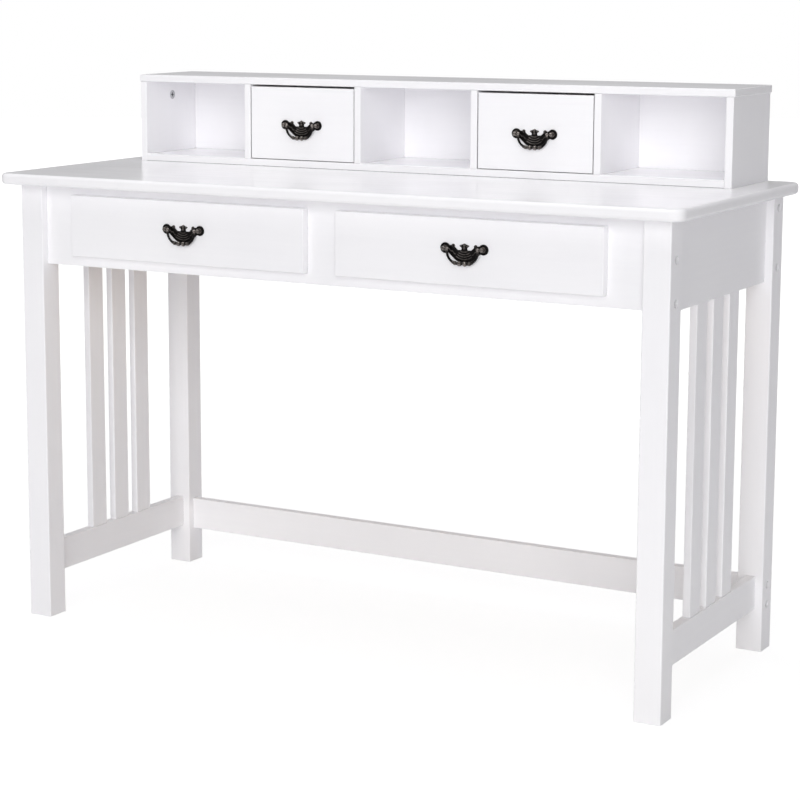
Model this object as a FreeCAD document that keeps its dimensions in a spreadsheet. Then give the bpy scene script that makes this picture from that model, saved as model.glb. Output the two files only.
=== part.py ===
import FreeCAD, Part
import Sketcher
import math
import os

# Student desk with a hutch: a worktop on two slatted end frames, two overlay drawers in the
# front apron, and a five-bay hutch with two inset drawers. Millimetres, +Z up, the front at -Y.
# The origin is on the floor under the middle of the worktop.

# Driving dimensions: one row of the sheet each, with what the size is.
SIZES = (
    ("worktop_width", 1200, "left to right"),
    ("worktop_depth", 500, "front to back"),
    ("worktop_thickness", 18, "board"),
    ("worktop_height", 753, "top face above the floor"),
    ("worktop_corner_radius", 20, "in plan"),
    ("worktop_edge_radius", 6, "top and bottom edges"),
    ("side_overhang", 26, "worktop past the legs, each side"),
    ("front_overhang", 30, "worktop past the front legs"),
    ("back_overhang", 8, "worktop past the rear legs"),
    ("leg_section", 42.5, "square"),
    ("leg_edge_radius", 2, "upright edges"),
    ("rail_thickness", 16, "aprons, lower rails and stretcher"),
    ("board_edge_radius", 1, "eased edges of rails, slats and hutch boards"),
    ("front_apron_height", 132.5, "front and rear aprons"),
    ("side_apron_height", 137.5, "end frames"),
    ("lower_rail_height", 54, "end frames"),
    ("lower_rail_lift", 69, "lower rail above the floor"),
    ("stretcher_height", 56, "between the rear legs"),
    ("stretcher_lift", 62.5, "stretcher above the floor"),
    ("slat_width", 40, "face of a slat"),
    ("slat_thickness", 12, "slat"),
    ("slat_pitch", 66, "slat to slat"),
    ("slat_tenon", 8, "slat end let into its mortise"),
    ("mortise_clearance", 0.1, "round each slat tenon"),
    ("bolt_diameter", 6, "shank of a frame bolt"),
    ("bolt_head_diameter", 12, "head of a frame bolt"),
    ("bolt_head_height", 4, "head of a frame bolt"),
    ("bolt_socket", 5, "hexagon across its corners"),
    ("bolt_reach", 36, "shank past the leg's inner face"),
    ("bolt_clearance", 0.5, "round a bolt and its head"),
    ("thread_clearance", 0.05, "nut round its bolt or shank"),
    ("counterbore_depth", 11, "in the leg's outer face"),
    ("barrel_nut_diameter", 10, "cross nut"),
    ("barrel_nut_length", 12, "cross nut"),
    ("barrel_nut_offset", 26, "nut axis from the leg's inner face"),
    ("front_bolt_low", 12, "lower bolt above the front apron's edge"),
    ("front_bolt_high", 74.5, "upper bolt above the front apron's edge"),
    ("rear_bolt_low", 17.5, "lower bolt above the rear apron's edge"),
    ("rear_bolt_drop", 21.5, "upper bolt below the rear apron's upper edge"),
    ("stretcher_bolt_edge", 12, "bolts from the stretcher's edges"),
    ("drawer_end_margin", 59.5, "apron beside a desk drawer's front"),
    ("drawer_middle_gap", 56, "between the fronts of the desk drawers"),
    ("drawer_front_lift", 17.5, "front above the apron's lower edge"),
    ("drawer_front_drop", 15, "front below the apron's upper edge"),
    ("drawer_front_thickness", 13, "desk drawer"),
    ("drawer_front_radius", 1.5, "eased edges of the drawer fronts"),
    ("drawer_lap_side", 18, "front past its opening, each side"),
    ("drawer_lap_edge", 12, "front past its opening, top and bottom"),
    ("closing_gap", 0.25, "drawer front to apron"),
    ("drawer_side_clearance", 1, "box to opening, each side"),
    ("running_clearance", 0.3, "box above what it slides on"),
    ("drawer_headroom", 5.7, "above a desk drawer's box in its opening"),
    ("drawer_back_clearance", 79.75, "behind a closed desk drawer"),
    ("drawer_board", 12, "sides and back of a desk drawer"),
    ("drawer_bottom_thickness", 4, "panel in the grooves"),
    ("drawer_bottom_lift", 8, "groove above a side's lower edge"),
    ("drawer_groove_depth", 5, "groove for the bottom panel"),
    ("panel_clearance", 0.2, "panel in its groove"),
    ("runner_ledge", 14, "under a drawer side"),
    ("runner_thickness", 12, "ledge and guide"),
    ("runner_guide_height", 16, "guide above the ledge"),
    ("hutch_height", 150, "above the worktop"),
    ("hutch_depth", 160, "side panels"),
    ("hutch_board", 12, "top, bottom, sides and dividers"),
    ("hutch_side_margin", 54, "worktop past the hutch, each side"),
    ("hutch_top_overhang", 2, "top past the sides and behind them"),
    ("hutch_top_radius", 1.5, "eased edges of the hutch top"),
    ("hutch_set_back", 3, "hutch top from the worktop's back edge"),
    ("hutch_back_thickness", 4, "panel in the grooves"),
    ("hutch_back_inset", 4.5, "panel from the rear edges"),
    ("hutch_groove_depth", 5, "groove for the back panel"),
    ("cam_diameter", 15, "cam disc"),
    ("cam_depth", 9, "cam disc"),
    ("cam_recess", 0.4, "disc below the panel's face"),
    ("cam_drop", 26, "cam below the hutch top"),
    ("cam_slot_width", 2, "cross slot"),
    ("cam_slot_depth", 2, "cross slot"),
    ("cam_clearance", 0.1, "round a cam"),
    ("hutch_drawer_side_gap", 1.5, "drawer to divider"),
    ("hutch_drawer_top_gap", 3.5, "drawer front to hutch top"),
    ("hutch_drawer_bottom_gap", 1, "drawer front to hutch bottom"),
    ("hutch_drawer_front_thickness", 12, "hutch drawer"),
    ("hutch_drawer_headroom", 29.7, "above a hutch drawer's box in its bay"),
    ("hutch_drawer_back_clearance", 11.5, "behind a closed hutch drawer"),
    ("hutch_drawer_board", 9, "sides and back of a hutch drawer"),
    ("desk_pull_rise", 5.5, "post line above the drawer front's middle"),
    ("hutch_pull_rise", -2, "post line above the drawer front's middle"),
    ("pull_post_spacing", 63, "post to post"),
    ("plate_thickness", 2, "cast backplate"),
    ("rosette_radius", 8, "round end of the backplate"),
    ("rosette_rim", 1.1, "half-round rim of a rosette"),
    ("rosette_boss_radius", 5, "seat of a post"),
    ("rosette_boss_height", 2.9, "seat of a post"),
    ("web_top_drop", 2.2, "plate's upper edge below the post line"),
    ("web_top_half", 11.5, "half of the plate's straight upper edge"),
    ("wing_rise", 3, "shoulder of the plate above the post line"),
    ("wing_half", 17, "shoulder of the plate from the middle"),
    ("waist_half", 18.5, "waist of the shield from the middle"),
    ("waist_drop", 12, "waist of the shield below the post line"),
    ("shield_half", 11, "foot of the shield from the middle"),
    ("shield_drop", 19, "foot of the shield below the post line"),
    ("shield_swell", 1.5, "rounded foot of the shield"),
    ("scroll_radius", 2.8, "scroll button on a shoulder"),
    ("scroll_offset", 18.5, "scroll button from the middle"),
    ("scroll_rise", 3.6, "scroll button above the post line"),
    ("crown_radius", 2.7, "middle lobe of the crown"),
    ("crown_rise", 4.8, "middle lobe above the post line"),
    ("crown_side_radius", 2.5, "side lobe of the crown"),
    ("crown_side_offset", 5.7, "side lobe from the middle"),
    ("crown_side_rise", 1.9, "side lobe above the post line"),
    ("crown_stem_half", 5, "stem under the crown, half width"),
    ("rib_count", 4, "embossed swags on the shield"),
    ("rib_radius", 0.9, "half-round swag"),
    ("rib_first", 12, "radius of the first swag's bow"),
    ("rib_pitch", 3.6, "swag to swag"),
    ("rib_centre_rise", 7, "centre of the bows above the post line"),
    ("rib_sweep", 76, "degrees of bow"),
    ("bail_clearance", 0.7, "beads of the bail to the swags"),
    ("post_head_radius", 3.3, "ball head"),
    ("post_stem_radius", 2.3, "stem behind the head"),
    ("post_collar_radius", 3.4, "collar on the rosette"),
    ("post_collar_height", 1, "collar on the rosette"),
    ("post_shank_radius", 2, "threaded shank"),
    ("post_shank_clearance", 0.2, "shank in plate and drawer front"),
    ("pull_nut_width", 8, "nut across its corners"),
    ("pull_nut_height", 3.2, "nut"),
    ("bail_drop", 21.5, "grip below the bail axis"),
    ("bail_radius", 1.75, "arms"),
    ("bail_bow", 17.2, "bend of the arms"),
    ("bail_pin_radius", 1.2, "pin in a post head"),
    ("bail_pin_clearance", 0.05, "pin in its bore"),
    ("knuckle_radius", 2.7, "ball where an arm meets its pin"),
    ("knuckle_gap", 0.3, "knuckle to post head"),
    ("bead_radius", 3.9, "beads at the middle of the grip"),
    ("bead_offset", 4.4, "bead from the middle"),
    ("small_bead_radius", 2.7, "bead on the bend"),
    ("small_bead_angle", 12, "degrees up the bend"),
)

doc = FreeCAD.newDocument("student_desk_with_hutch")
sheet = doc.addObject("Spreadsheet::Sheet", "Sizes")
for row, (alias, value, meaning) in enumerate(SIZES, start=1):
    sheet.set(f"A{row}", alias)
    sheet.set(f"B{row}", str(value))
    sheet.set(f"C{row}", meaning)
    sheet.setAlias(f"B{row}", alias)
doc.recompute()

SIDES = (("left", -1), ("right", 1))
SLAT_PLACES = (-1, 0, 1)
BAY_COUNT = 5

# Places worked out from the sizes, as expressions.
UNDERSIDE = "(Sizes.worktop_height - Sizes.worktop_thickness)"
LEG_OUTER_X = "(Sizes.worktop_width / 2 - Sizes.side_overhang)"
LEG_INNER_X = f"({LEG_OUTER_X} - Sizes.leg_section)"
LEG_X = f"({LEG_OUTER_X} - Sizes.leg_section / 2)"
FRONT_LEG_Y = "(Sizes.front_overhang + Sizes.leg_section / 2 - Sizes.worktop_depth / 2)"
REAR_LEG_Y = "(Sizes.worktop_depth / 2 - Sizes.back_overhang - Sizes.leg_section / 2)"
FRAME_Y = f"(({FRONT_LEG_Y} + {REAR_LEG_Y}) / 2)"
END_RAIL_LENGTH = f"({REAR_LEG_Y} - {FRONT_LEG_Y} - Sizes.leg_section)"
CROSS_RAIL_LENGTH = f"(2 * {LEG_INNER_X})"
FRONT_APRON_BOTTOM = f"({UNDERSIDE} - Sizes.front_apron_height)"
SIDE_APRON_BOTTOM = f"({UNDERSIDE} - Sizes.side_apron_height)"
LOWER_RAIL_TOP = "(Sizes.lower_rail_lift + Sizes.lower_rail_height)"
STRETCHER_TOP = "(Sizes.stretcher_lift + Sizes.stretcher_height)"
APRON_FACE_Y = f"({FRONT_LEG_Y} - Sizes.rail_thickness / 2)"
APRON_BACK_Y = f"({FRONT_LEG_Y} + Sizes.rail_thickness / 2)"
REAR_APRON_FACE_Y = f"({REAR_LEG_Y} - Sizes.rail_thickness / 2)"
DRAWER_WIDTH = f"(({CROSS_RAIL_LENGTH} - 2 * Sizes.drawer_end_margin - Sizes.drawer_middle_gap) / 2)"
DRAWER_HEIGHT = "(Sizes.front_apron_height - Sizes.drawer_front_lift - Sizes.drawer_front_drop)"
DRAWER_X = f"((Sizes.drawer_middle_gap + {DRAWER_WIDTH}) / 2)"
OPENING_WIDTH = f"({DRAWER_WIDTH} - 2 * Sizes.drawer_lap_side)"
OPENING_HEIGHT = f"({DRAWER_HEIGHT} - 2 * Sizes.drawer_lap_edge)"
OPENING_BOTTOM = f"({FRONT_APRON_BOTTOM} + Sizes.drawer_front_lift + Sizes.drawer_lap_edge)"
HUTCH_BACK_Y = "(Sizes.worktop_depth / 2 - Sizes.hutch_set_back - Sizes.hutch_top_overhang)"
HUTCH_FRONT_Y = f"({HUTCH_BACK_Y} - Sizes.hutch_depth)"
HUTCH_MIDDLE_Y = f"({HUTCH_BACK_Y} - Sizes.hutch_depth / 2)"
HUTCH_INNER_WIDTH = "(Sizes.worktop_width - 2 * Sizes.hutch_side_margin - 2 * Sizes.hutch_board)"
BAY_WIDTH = f"(({HUTCH_INNER_WIDTH} - {BAY_COUNT - 1} * Sizes.hutch_board) / {BAY_COUNT})"
HUTCH_SIDE_X = f"({HUTCH_INNER_WIDTH} / 2 + Sizes.hutch_board / 2)"
HUTCH_FLOOR = "(Sizes.worktop_height + Sizes.hutch_board)"
HUTCH_CEILING = "(Sizes.worktop_height + Sizes.hutch_height - Sizes.hutch_board)"
HUTCH_PANEL_FACE_Y = f"({HUTCH_BACK_Y} - Sizes.hutch_back_inset - Sizes.hutch_back_thickness)"
BAY_PITCH = f"({BAY_WIDTH} + Sizes.hutch_board)"
POST_STANDOFF = "(Sizes.plate_thickness + Sizes.rib_radius + Sizes.bail_clearance + Sizes.bead_radius)"
SHANK_BORE_RADIUS = "(Sizes.post_shank_radius + Sizes.post_shank_clearance)"
PIN_BORE_RADIUS = "(Sizes.bail_pin_radius + Sizes.bail_pin_clearance)"
ARM_X = "(Sizes.pull_post_spacing / 2 - Sizes.post_head_radius - Sizes.knuckle_gap - Sizes.knuckle_radius)"

X_AXIS = FreeCAD.Vector(1, 0, 0)
Y_AXIS = FreeCAD.Vector(0, 1, 0)
Z_AXIS = FreeCAD.Vector(0, 0, 1)
ALONG_X = FreeCAD.Rotation(Z_AXIS, X_AXIS)
ALONG_Y = FreeCAD.Rotation(Z_AXIS, Y_AXIS)
FORWARD = FreeCAD.Rotation(X_AXIS, 90)
EDGE_LEAN_ANGLE = 8
FRONT_BAND = 0.01

nodes = []


def size(alias):
    """The value of one driving dimension."""
    return float(sheet.get(alias))


def keep(label, item):
    """Names a finished sub-part and lists it for export."""
    item.Label = label
    nodes.append(item)
    return item


def bind(item, **rules):
    """Ties properties of an object to expressions."""
    for name, rule in rules.items():
        item.setExpression(name, rule)
    return item


def place(item, x, y, z, rotation=FreeCAD.Rotation()):
    """Turns an object and ties its place to three expressions."""
    item.Placement = FreeCAD.Placement(FreeCAD.Vector(0, 0, 0), rotation)
    for axis, rule in zip("xyz", (x, y, z)):
        item.setExpression(f"Placement.Base.{axis}", str(rule))
    return item


def board(name, x, y, bottom, length, depth, height):
    """A plain board, given by its middle in plan, its underside and its three sizes."""
    box = doc.addObject("Part::Box", name)
    bind(box, Length=length, Width=depth, Height=height)
    return place(box, f"{x} - ({length}) / 2", f"{y} - ({depth}) / 2", bottom)


def rod(name, x, y, z, radius, length, rotation):
    """A round bar that starts at a point and runs along the turned Z axis."""
    bar = doc.addObject("Part::Cylinder", name)
    bind(bar, Radius=radius, Height=length)
    return place(bar, x, y, z, rotation)


def ball(name, x, y, z, radius, rotation=FreeCAD.Rotation()):
    """A sphere about a point, with its poles along the turned Z axis."""
    return place(bind(doc.addObject("Part::Sphere", name), Radius=radius), x, y, z, rotation)


def ring(name, x, y, z, bow, radius, rotation, sweep):
    """A stretch of a round bar bent about a point, over so many degrees."""
    bent = doc.addObject("Part::Torus", name)
    bind(bent, Radius1=bow, Radius2=radius, Angle3=str(sweep))
    return place(bent, x, y, z, rotation)


def dome(name, x, y, z, radius):
    """A half-round button that stands out towards the front."""
    button = doc.addObject("Part::Sphere", name)
    button.Angle1 = 0
    return place(bind(button, Radius=radius), x, y, z, FORWARD)


def joined(name, pieces):
    """One solid made of several."""
    fused = doc.addObject("Part::MultiFuse", name)
    fused.Shapes = pieces
    return fused


def cut(name, base, tools):
    """A piece with openings, grooves or bores taken out of it."""
    tool = tools[0] if len(tools) == 1 else joined(f"{name}_cuts", tools)
    rest = doc.addObject("Part::Cut", name)
    rest.Base = base
    rest.Tool = tool
    return rest


def group(name, pieces):
    """Separate solids that share a node."""
    together = doc.addObject("Part::Compound", name)
    together.Links = pieces
    return together


def eased(name, base, radius_alias, wanted):
    """Rounds the edges of a piece that a test picks by their direction and middle."""
    doc.recompute()
    rounded = doc.addObject("Part::Fillet", name)
    rounded.Base = base
    radius = size(radius_alias)
    picked = []
    for number, edge in enumerate(base.Shape.Edges, start=1):
        if wanted(edge.tangentAt(edge.FirstParameter), edge.CenterOfMass):
            picked.append((number, radius, radius))
    rounded.Edges = picked
    return rounded


def every_edge(direction, middle):
    """All the edges of a board."""
    return True


def runs_along(direction, axis):
    """Whether a direction lies along an axis, either way, but for a few degrees."""
    return abs(direction.dot(axis)) > math.cos(math.radians(EDGE_LEAN_ANGLE))


def along(axis):
    """A test for the edges that run along an axis."""
    return lambda direction, middle: runs_along(direction, axis)


def front_edges(axis, front_y):
    """A test for the edges along an axis that lie at the front of a board."""
    return lambda direction, middle: runs_along(direction, axis) and middle.y < front_y + FRONT_BAND


def front_face(front_y):
    """A test for the four edges round the front face of a board."""
    return lambda direction, middle: middle.y < front_y + FRONT_BAND


def origin_plane(body, role):
    """One of a body's own planes."""
    return next(item for item in body.Origin.OriginFeatures if item.Role == role)


def flat_sketch(body, name, role):
    """An empty sketch on one of a body's own planes."""
    sketch = body.newObject("Sketcher::SketchObject", name)
    sketch.AttachmentSupport = (origin_plane(body, role), [""])
    sketch.MapMode = "FlatFace"
    return sketch


def outline(sketch, corners):
    """A closed outline of straight sides through corners given as pairs of expressions."""
    points = []
    for across, up in corners:
        points.append(FreeCAD.Vector(sketch.evalExpression(across), sketch.evalExpression(up), 0))
    for start, end in zip(points, points[1:] + points[:1]):
        sketch.addGeometry(Part.LineSegment(start, end), False)
    last = len(points) - 1
    for side in range(len(points)):
        sketch.addConstraint(Sketcher.Constraint("Coincident", side - 1 if side else last, 2, side, 1))
    for side, (across, up) in enumerate(corners):
        for kind, rule, value in (("DistanceX", across, points[side].x), ("DistanceY", up, points[side].y)):
            number = sketch.addConstraint(Sketcher.Constraint(kind, -1, 1, side, 1, value))
            sketch.setExpression(f"Constraints[{number}]", rule)


def pad(body, name, sketch, length):
    """A sketch thickened along its normal."""
    thick = body.newObject("PartDesign::Pad", name)
    thick.Profile = sketch
    thick.setExpression("Length", length)
    doc.recompute()
    return thick


def rounded(body, name, base, radius, wanted):
    """Rounds the edges of a body's feature that a test picks."""
    names = []
    for number, edge in enumerate(base.Shape.Edges, start=1):
        if wanted(edge):
            names.append(f"Edge{number}")
    feature = body.newObject("PartDesign::Fillet", name)
    feature.Base = (base, names)
    feature.setExpression("Radius", radius)
    doc.recompute()
    return feature


def make_worktop():
    """A board with round corners in plan and round edges all the way round."""
    body = doc.addObject("PartDesign::Body", "worktop")
    sketch = flat_sketch(body, "worktop_plan", "XY_Plane")
    half_x = "Sizes.worktop_width / 2"
    half_y = "Sizes.worktop_depth / 2"
    outline(sketch, [
        (f"-{half_x}", f"-{half_y}"),
        (half_x, f"-{half_y}"),
        (half_x, half_y),
        (f"-{half_x}", half_y),
    ])
    slab = pad(body, "worktop_slab", sketch, "Sizes.worktop_thickness")

    def corner(edge):
        return runs_along(edge.tangentAt(edge.FirstParameter), Z_AXIS)

    def rim(edge):
        return edge.BoundBox.ZLength < size("worktop_thickness") / 2

    cornered = rounded(body, "worktop_corners", slab, "Sizes.worktop_corner_radius", corner)
    rounded(body, "worktop_edges", cornered, "Sizes.worktop_edge_radius", rim)
    keep("worktop", place(body, "0", "0", UNDERSIDE))


def bolt_joints():
    """Name, height and depth place of each bolted joint between a leg and a cross rail."""
    return (
        ("front_low", f"{FRONT_APRON_BOTTOM} + Sizes.front_bolt_low", FRONT_LEG_Y),
        ("front_high", f"{FRONT_APRON_BOTTOM} + Sizes.front_bolt_high", FRONT_LEG_Y),
        ("rear_low", f"{FRONT_APRON_BOTTOM} + Sizes.rear_bolt_low", REAR_LEG_Y),
        ("rear_high", f"{UNDERSIDE} - Sizes.rear_bolt_drop", REAR_LEG_Y),
        ("stretcher_low", "Sizes.stretcher_lift + Sizes.stretcher_bolt_edge", REAR_LEG_Y),
        ("stretcher_high", f"{STRETCHER_TOP} - Sizes.stretcher_bolt_edge", REAR_LEG_Y),
    )


def make_bolts():
    """The frame bolts and barrel nuts, and the bores that legs and rails get for them."""
    bolts = []
    nuts = []
    leg_bores = {}
    rail_bores = {}
    head_seat = f"({LEG_OUTER_X} - Sizes.counterbore_depth)"
    shank = f"({head_seat} - {LEG_INNER_X} + Sizes.bolt_reach)"
    nut_x = f"({LEG_INNER_X} - Sizes.barrel_nut_offset)"
    shank_bore = "Sizes.bolt_diameter / 2 + Sizes.bolt_clearance"
    for side, sign in SIDES:
        inward = FreeCAD.Rotation(Z_AXIS, FreeCAD.Vector(-sign, 0, 0))
        outward = FreeCAD.Rotation(Z_AXIS, FreeCAD.Vector(sign, 0, 0))
        for joint, z, y in bolt_joints():
            name = f"{side}_{joint}"
            seat = f"{sign} * {head_seat}"
            stem = rod(f"{name}_shank", seat, y, z, "Sizes.bolt_diameter / 2", shank, inward)
            head = rod(f"{name}_head", seat, y, z, "Sizes.bolt_head_diameter / 2",
                       "Sizes.bolt_head_height", outward)
            socket = doc.addObject("Part::Prism", f"{name}_socket")
            bind(socket, Circumradius="Sizes.bolt_socket / 2", Height="Sizes.bolt_head_height")
            place(socket, f"{sign} * ({head_seat} + Sizes.bolt_head_height / 2)", y, z, outward)
            bolts.append(cut(f"{name}_bolt", joined(f"{name}_blank", [stem, head]), [socket]))

            end = "Sizes.barrel_nut_length / 2"
            barrel = rod(f"{name}_barrel", f"{sign} * {nut_x}", f"{y} - {end}", z,
                         "Sizes.barrel_nut_diameter / 2", "Sizes.barrel_nut_length", ALONG_Y)
            thread = rod(f"{name}_thread", f"{sign} * {LEG_INNER_X}", y, z,
                         "Sizes.bolt_diameter / 2 + Sizes.thread_clearance", "Sizes.bolt_reach", inward)
            nuts.append(cut(f"{name}_nut", barrel, [thread]))

            sink = rod(f"{name}_sink", seat, y, z, "Sizes.bolt_head_diameter / 2 + Sizes.bolt_clearance",
                       "Sizes.counterbore_depth", outward)
            bore = rod(f"{name}_bore", seat, y, z, shank_bore, f"{shank} + Sizes.bolt_clearance", inward)
            leg = "front" if joint.startswith("front") else "rear"
            leg_bores.setdefault(f"{leg}_{side}", []).extend([sink, bore])

            pocket = rod(f"{name}_pocket", f"{sign} * {nut_x}", f"{y} - {end}", z,
                         "Sizes.barrel_nut_diameter / 2 + Sizes.thread_clearance",
                         f"{end} + Sizes.rail_thickness / 2", ALONG_Y)
            rail_bores.setdefault(joint.split("_")[0], []).extend([bore, pocket])
    keep("frame_bolts", group("frame_bolts", bolts))
    keep("barrel_nuts", group("barrel_nuts", nuts))
    return leg_bores, rail_bores


def make_legs(leg_bores):
    """Square legs with eased upright edges, bored for the bolts from their outer faces."""
    for end, y in (("front", FRONT_LEG_Y), ("rear", REAR_LEG_Y)):
        for side, sign in SIDES:
            name = f"{end}_{side}_leg"
            blank = board(f"{name}_blank", f"{sign} * {LEG_X}", y, "0",
                          "Sizes.leg_section", "Sizes.leg_section", UNDERSIDE)
            round_leg = eased(f"{name}_eased", blank, "leg_edge_radius", along(Z_AXIS))
            keep(name, cut(name, round_leg, leg_bores[f"{end}_{side}"]))


def make_end_frames():
    """On each side an apron, a lower rail and three slats let into both."""
    slat_bottom = f"({LOWER_RAIL_TOP} - Sizes.slat_tenon)"
    slat_height = f"({SIDE_APRON_BOTTOM} - {LOWER_RAIL_TOP} + 2 * Sizes.slat_tenon)"
    gap = "2 * Sizes.mortise_clearance"
    for side, sign in SIDES:
        x = f"{sign} * {LEG_X}"
        slats = []
        mortises = []
        for number, step in enumerate(SLAT_PLACES, start=1):
            y = f"({FRAME_Y} + {step} * Sizes.slat_pitch)"
            slat = board(f"{side}_slat_{number}_blank", x, y, slat_bottom,
                         "Sizes.slat_thickness", "Sizes.slat_width", slat_height)
            slats.append(eased(f"{side}_slat_{number}", slat, "board_edge_radius", along(Z_AXIS)))
            mortises.append(board(f"{side}_mortise_{number}", x, y, slat_bottom,
                                  f"Sizes.slat_thickness + {gap}", f"Sizes.slat_width + {gap}", slat_height))
        apron = board(f"{side}_apron_blank", x, FRAME_Y, SIDE_APRON_BOTTOM,
                      "Sizes.rail_thickness", END_RAIL_LENGTH, "Sizes.side_apron_height")
        rail = board(f"{side}_rail_blank", x, FRAME_Y, "Sizes.lower_rail_lift",
                     "Sizes.rail_thickness", END_RAIL_LENGTH, "Sizes.lower_rail_height")
        for name, blank in ((f"{side}_side_apron", apron), (f"{side}_lower_rail", rail)):
            soft = eased(f"{name}_eased", blank, "board_edge_radius", along(Y_AXIS))
            keep(name, cut(name, soft, mortises))
        keep(f"{side}_slats", group(f"{side}_slats", slats))


def make_cross_rails(rail_bores):
    """Front apron with its two openings, rear apron and low rear stretcher."""
    openings = []
    for side, sign in SIDES:
        openings.append(board(f"{side}_opening", f"{sign} * {DRAWER_X}", FRONT_LEG_Y, OPENING_BOTTOM,
                              OPENING_WIDTH, "2 * Sizes.rail_thickness", OPENING_HEIGHT))
    front = board("front_apron_blank", "0", FRONT_LEG_Y, FRONT_APRON_BOTTOM,
                  CROSS_RAIL_LENGTH, "Sizes.rail_thickness", "Sizes.front_apron_height")
    rear = board("rear_apron_blank", "0", REAR_LEG_Y, FRONT_APRON_BOTTOM,
                 CROSS_RAIL_LENGTH, "Sizes.rail_thickness", "Sizes.front_apron_height")
    stretcher = board("rear_stretcher_blank", "0", REAR_LEG_Y, "Sizes.stretcher_lift",
                      CROSS_RAIL_LENGTH, "Sizes.rail_thickness", "Sizes.stretcher_height")
    for name, blank, tools in (("front_apron", front, openings + rail_bores["front"]),
                               ("rear_apron", rear, rail_bores["rear"]),
                               ("rear_stretcher", stretcher, rail_bores["stretcher"])):
        soft = eased(f"{name}_eased", blank, "board_edge_radius", along(X_AXIS))
        keep(name, cut(name, soft, tools))


def make_runners():
    """A pair of L-section runners under each desk drawer, from the front to the rear apron."""
    length = f"({REAR_APRON_FACE_Y} - {APRON_BACK_Y})"
    for side, sign in SIDES:
        pair = []
        for hand, turn in SIDES:
            name = f"{side}_runner_{hand}"
            body = doc.addObject("PartDesign::Body", name)
            sketch = flat_sketch(body, f"{name}_section", "XZ_Plane")
            outline(sketch, [
                (f"-{turn} * Sizes.runner_ledge", "-Sizes.runner_thickness"),
                (f"{turn} * Sizes.runner_thickness", "-Sizes.runner_thickness"),
                (f"{turn} * Sizes.runner_thickness", "Sizes.runner_guide_height"),
                ("0", "Sizes.runner_guide_height"),
                ("0", "0"),
                (f"-{turn} * Sizes.runner_ledge", "0"),
            ])
            pad(body, f"{name}_bar", sketch, length)
            edge_x = f"{sign} * {DRAWER_X} + {turn} * {OPENING_WIDTH} / 2"
            pair.append(place(body, edge_x, REAR_APRON_FACE_Y, OPENING_BOTTOM))
        keep(f"{side}_drawer_runners", group(f"{side}_drawer_runners", pair))


def make_drawer(name, x, face_y, front_bottom, front, box, box_bottom, board_size, pull_z):
    """A drawer: front, two grooved sides, back and a bottom panel that lies in the grooves."""
    front_width, front_height, front_thickness = front
    box_width, box_depth, box_height = box
    front_y = f"({face_y} + {front_thickness} / 2)"
    box_y = f"({face_y} + {front_thickness} + {box_depth} / 2)"
    groove_bottom = f"({box_bottom} + Sizes.drawer_bottom_lift)"
    groove_height = "(Sizes.drawer_bottom_thickness + Sizes.panel_clearance)"
    groove_width = f"({box_width} - 2 * {board_size} + 2 * Sizes.drawer_groove_depth)"
    groove_depth = f"({box_depth} + 2 * Sizes.drawer_groove_depth)"
    groove = board(f"{name}_groove", x, box_y, groove_bottom, groove_width, groove_depth, groove_height)

    blank = board(f"{name}_front_blank", x, front_y, front_bottom,
                  front_width, front_thickness, front_height)
    soft = eased(f"{name}_front_eased", blank, "drawer_front_radius",
                 front_face(sheet.evalExpression(face_y)))
    holes = []
    for hand, sign in SIDES:
        post_x = f"{x} + {sign} * Sizes.pull_post_spacing / 2"
        holes.append(rod(f"{name}_hole_{hand}", post_x, face_y, pull_z, SHANK_BORE_RADIUS,
                         front_thickness, ALONG_Y))
    keep(f"{name}_front", cut(f"{name}_front", soft, [groove] + holes))

    for hand, sign in SIDES:
        side_x = f"({x} + {sign} * ({box_width} - {board_size}) / 2)"
        plank = board(f"{name}_{hand}_blank", side_x, box_y, box_bottom, board_size, box_depth, box_height)
        keep(f"{name}_{hand}_side", cut(f"{name}_{hand}_side", plank, [groove]))

    panel_top = f"({groove_bottom} + Sizes.drawer_bottom_thickness)"
    back_y = f"({face_y} + {front_thickness} + {box_depth} - {board_size} / 2)"
    keep(f"{name}_back", board(f"{name}_back", x, back_y, panel_top, f"{box_width} - 2 * {board_size}",
                               board_size, f"{box_bottom} + {box_height} - {panel_top}"))

    tongue = "(Sizes.drawer_groove_depth - Sizes.panel_clearance)"
    panel_width = f"({box_width} - 2 * {board_size} + 2 * {tongue})"
    panel_y = f"({face_y} + {front_thickness} + ({box_depth} - {tongue}) / 2)"
    keep(f"{name}_bottom", board(f"{name}_bottom", x, panel_y, groove_bottom, panel_width,
                                 f"{box_depth} + {tongue}", "Sizes.drawer_bottom_thickness"))


def make_desk_drawers():
    """Two overlay drawers whose fronts lie flush with the leg faces; returns their pull places."""
    face_y = f"({APRON_FACE_Y} - Sizes.closing_gap - Sizes.drawer_front_thickness)"
    bottom = f"({FRONT_APRON_BOTTOM} + Sizes.drawer_front_lift)"
    pull_z = f"({bottom} + {DRAWER_HEIGHT} / 2 + Sizes.desk_pull_rise)"
    front = (DRAWER_WIDTH, DRAWER_HEIGHT, "Sizes.drawer_front_thickness")
    box = (f"({OPENING_WIDTH} - 2 * Sizes.drawer_side_clearance)",
           f"({REAR_APRON_FACE_Y} - {face_y} - Sizes.drawer_front_thickness - Sizes.drawer_back_clearance)",
           f"({OPENING_HEIGHT} - Sizes.running_clearance - Sizes.drawer_headroom)")
    pulls = []
    for side, sign in SIDES:
        name = f"desk_{side}_drawer"
        x = f"{sign} * {DRAWER_X}"
        make_drawer(name, x, face_y, bottom, front, box, f"({OPENING_BOTTOM} + Sizes.running_clearance)",
                    "Sizes.drawer_board", pull_z)
        pulls.append((f"desk_{side}_pull", x, face_y, pull_z, "Sizes.drawer_front_thickness"))
    return pulls


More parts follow.
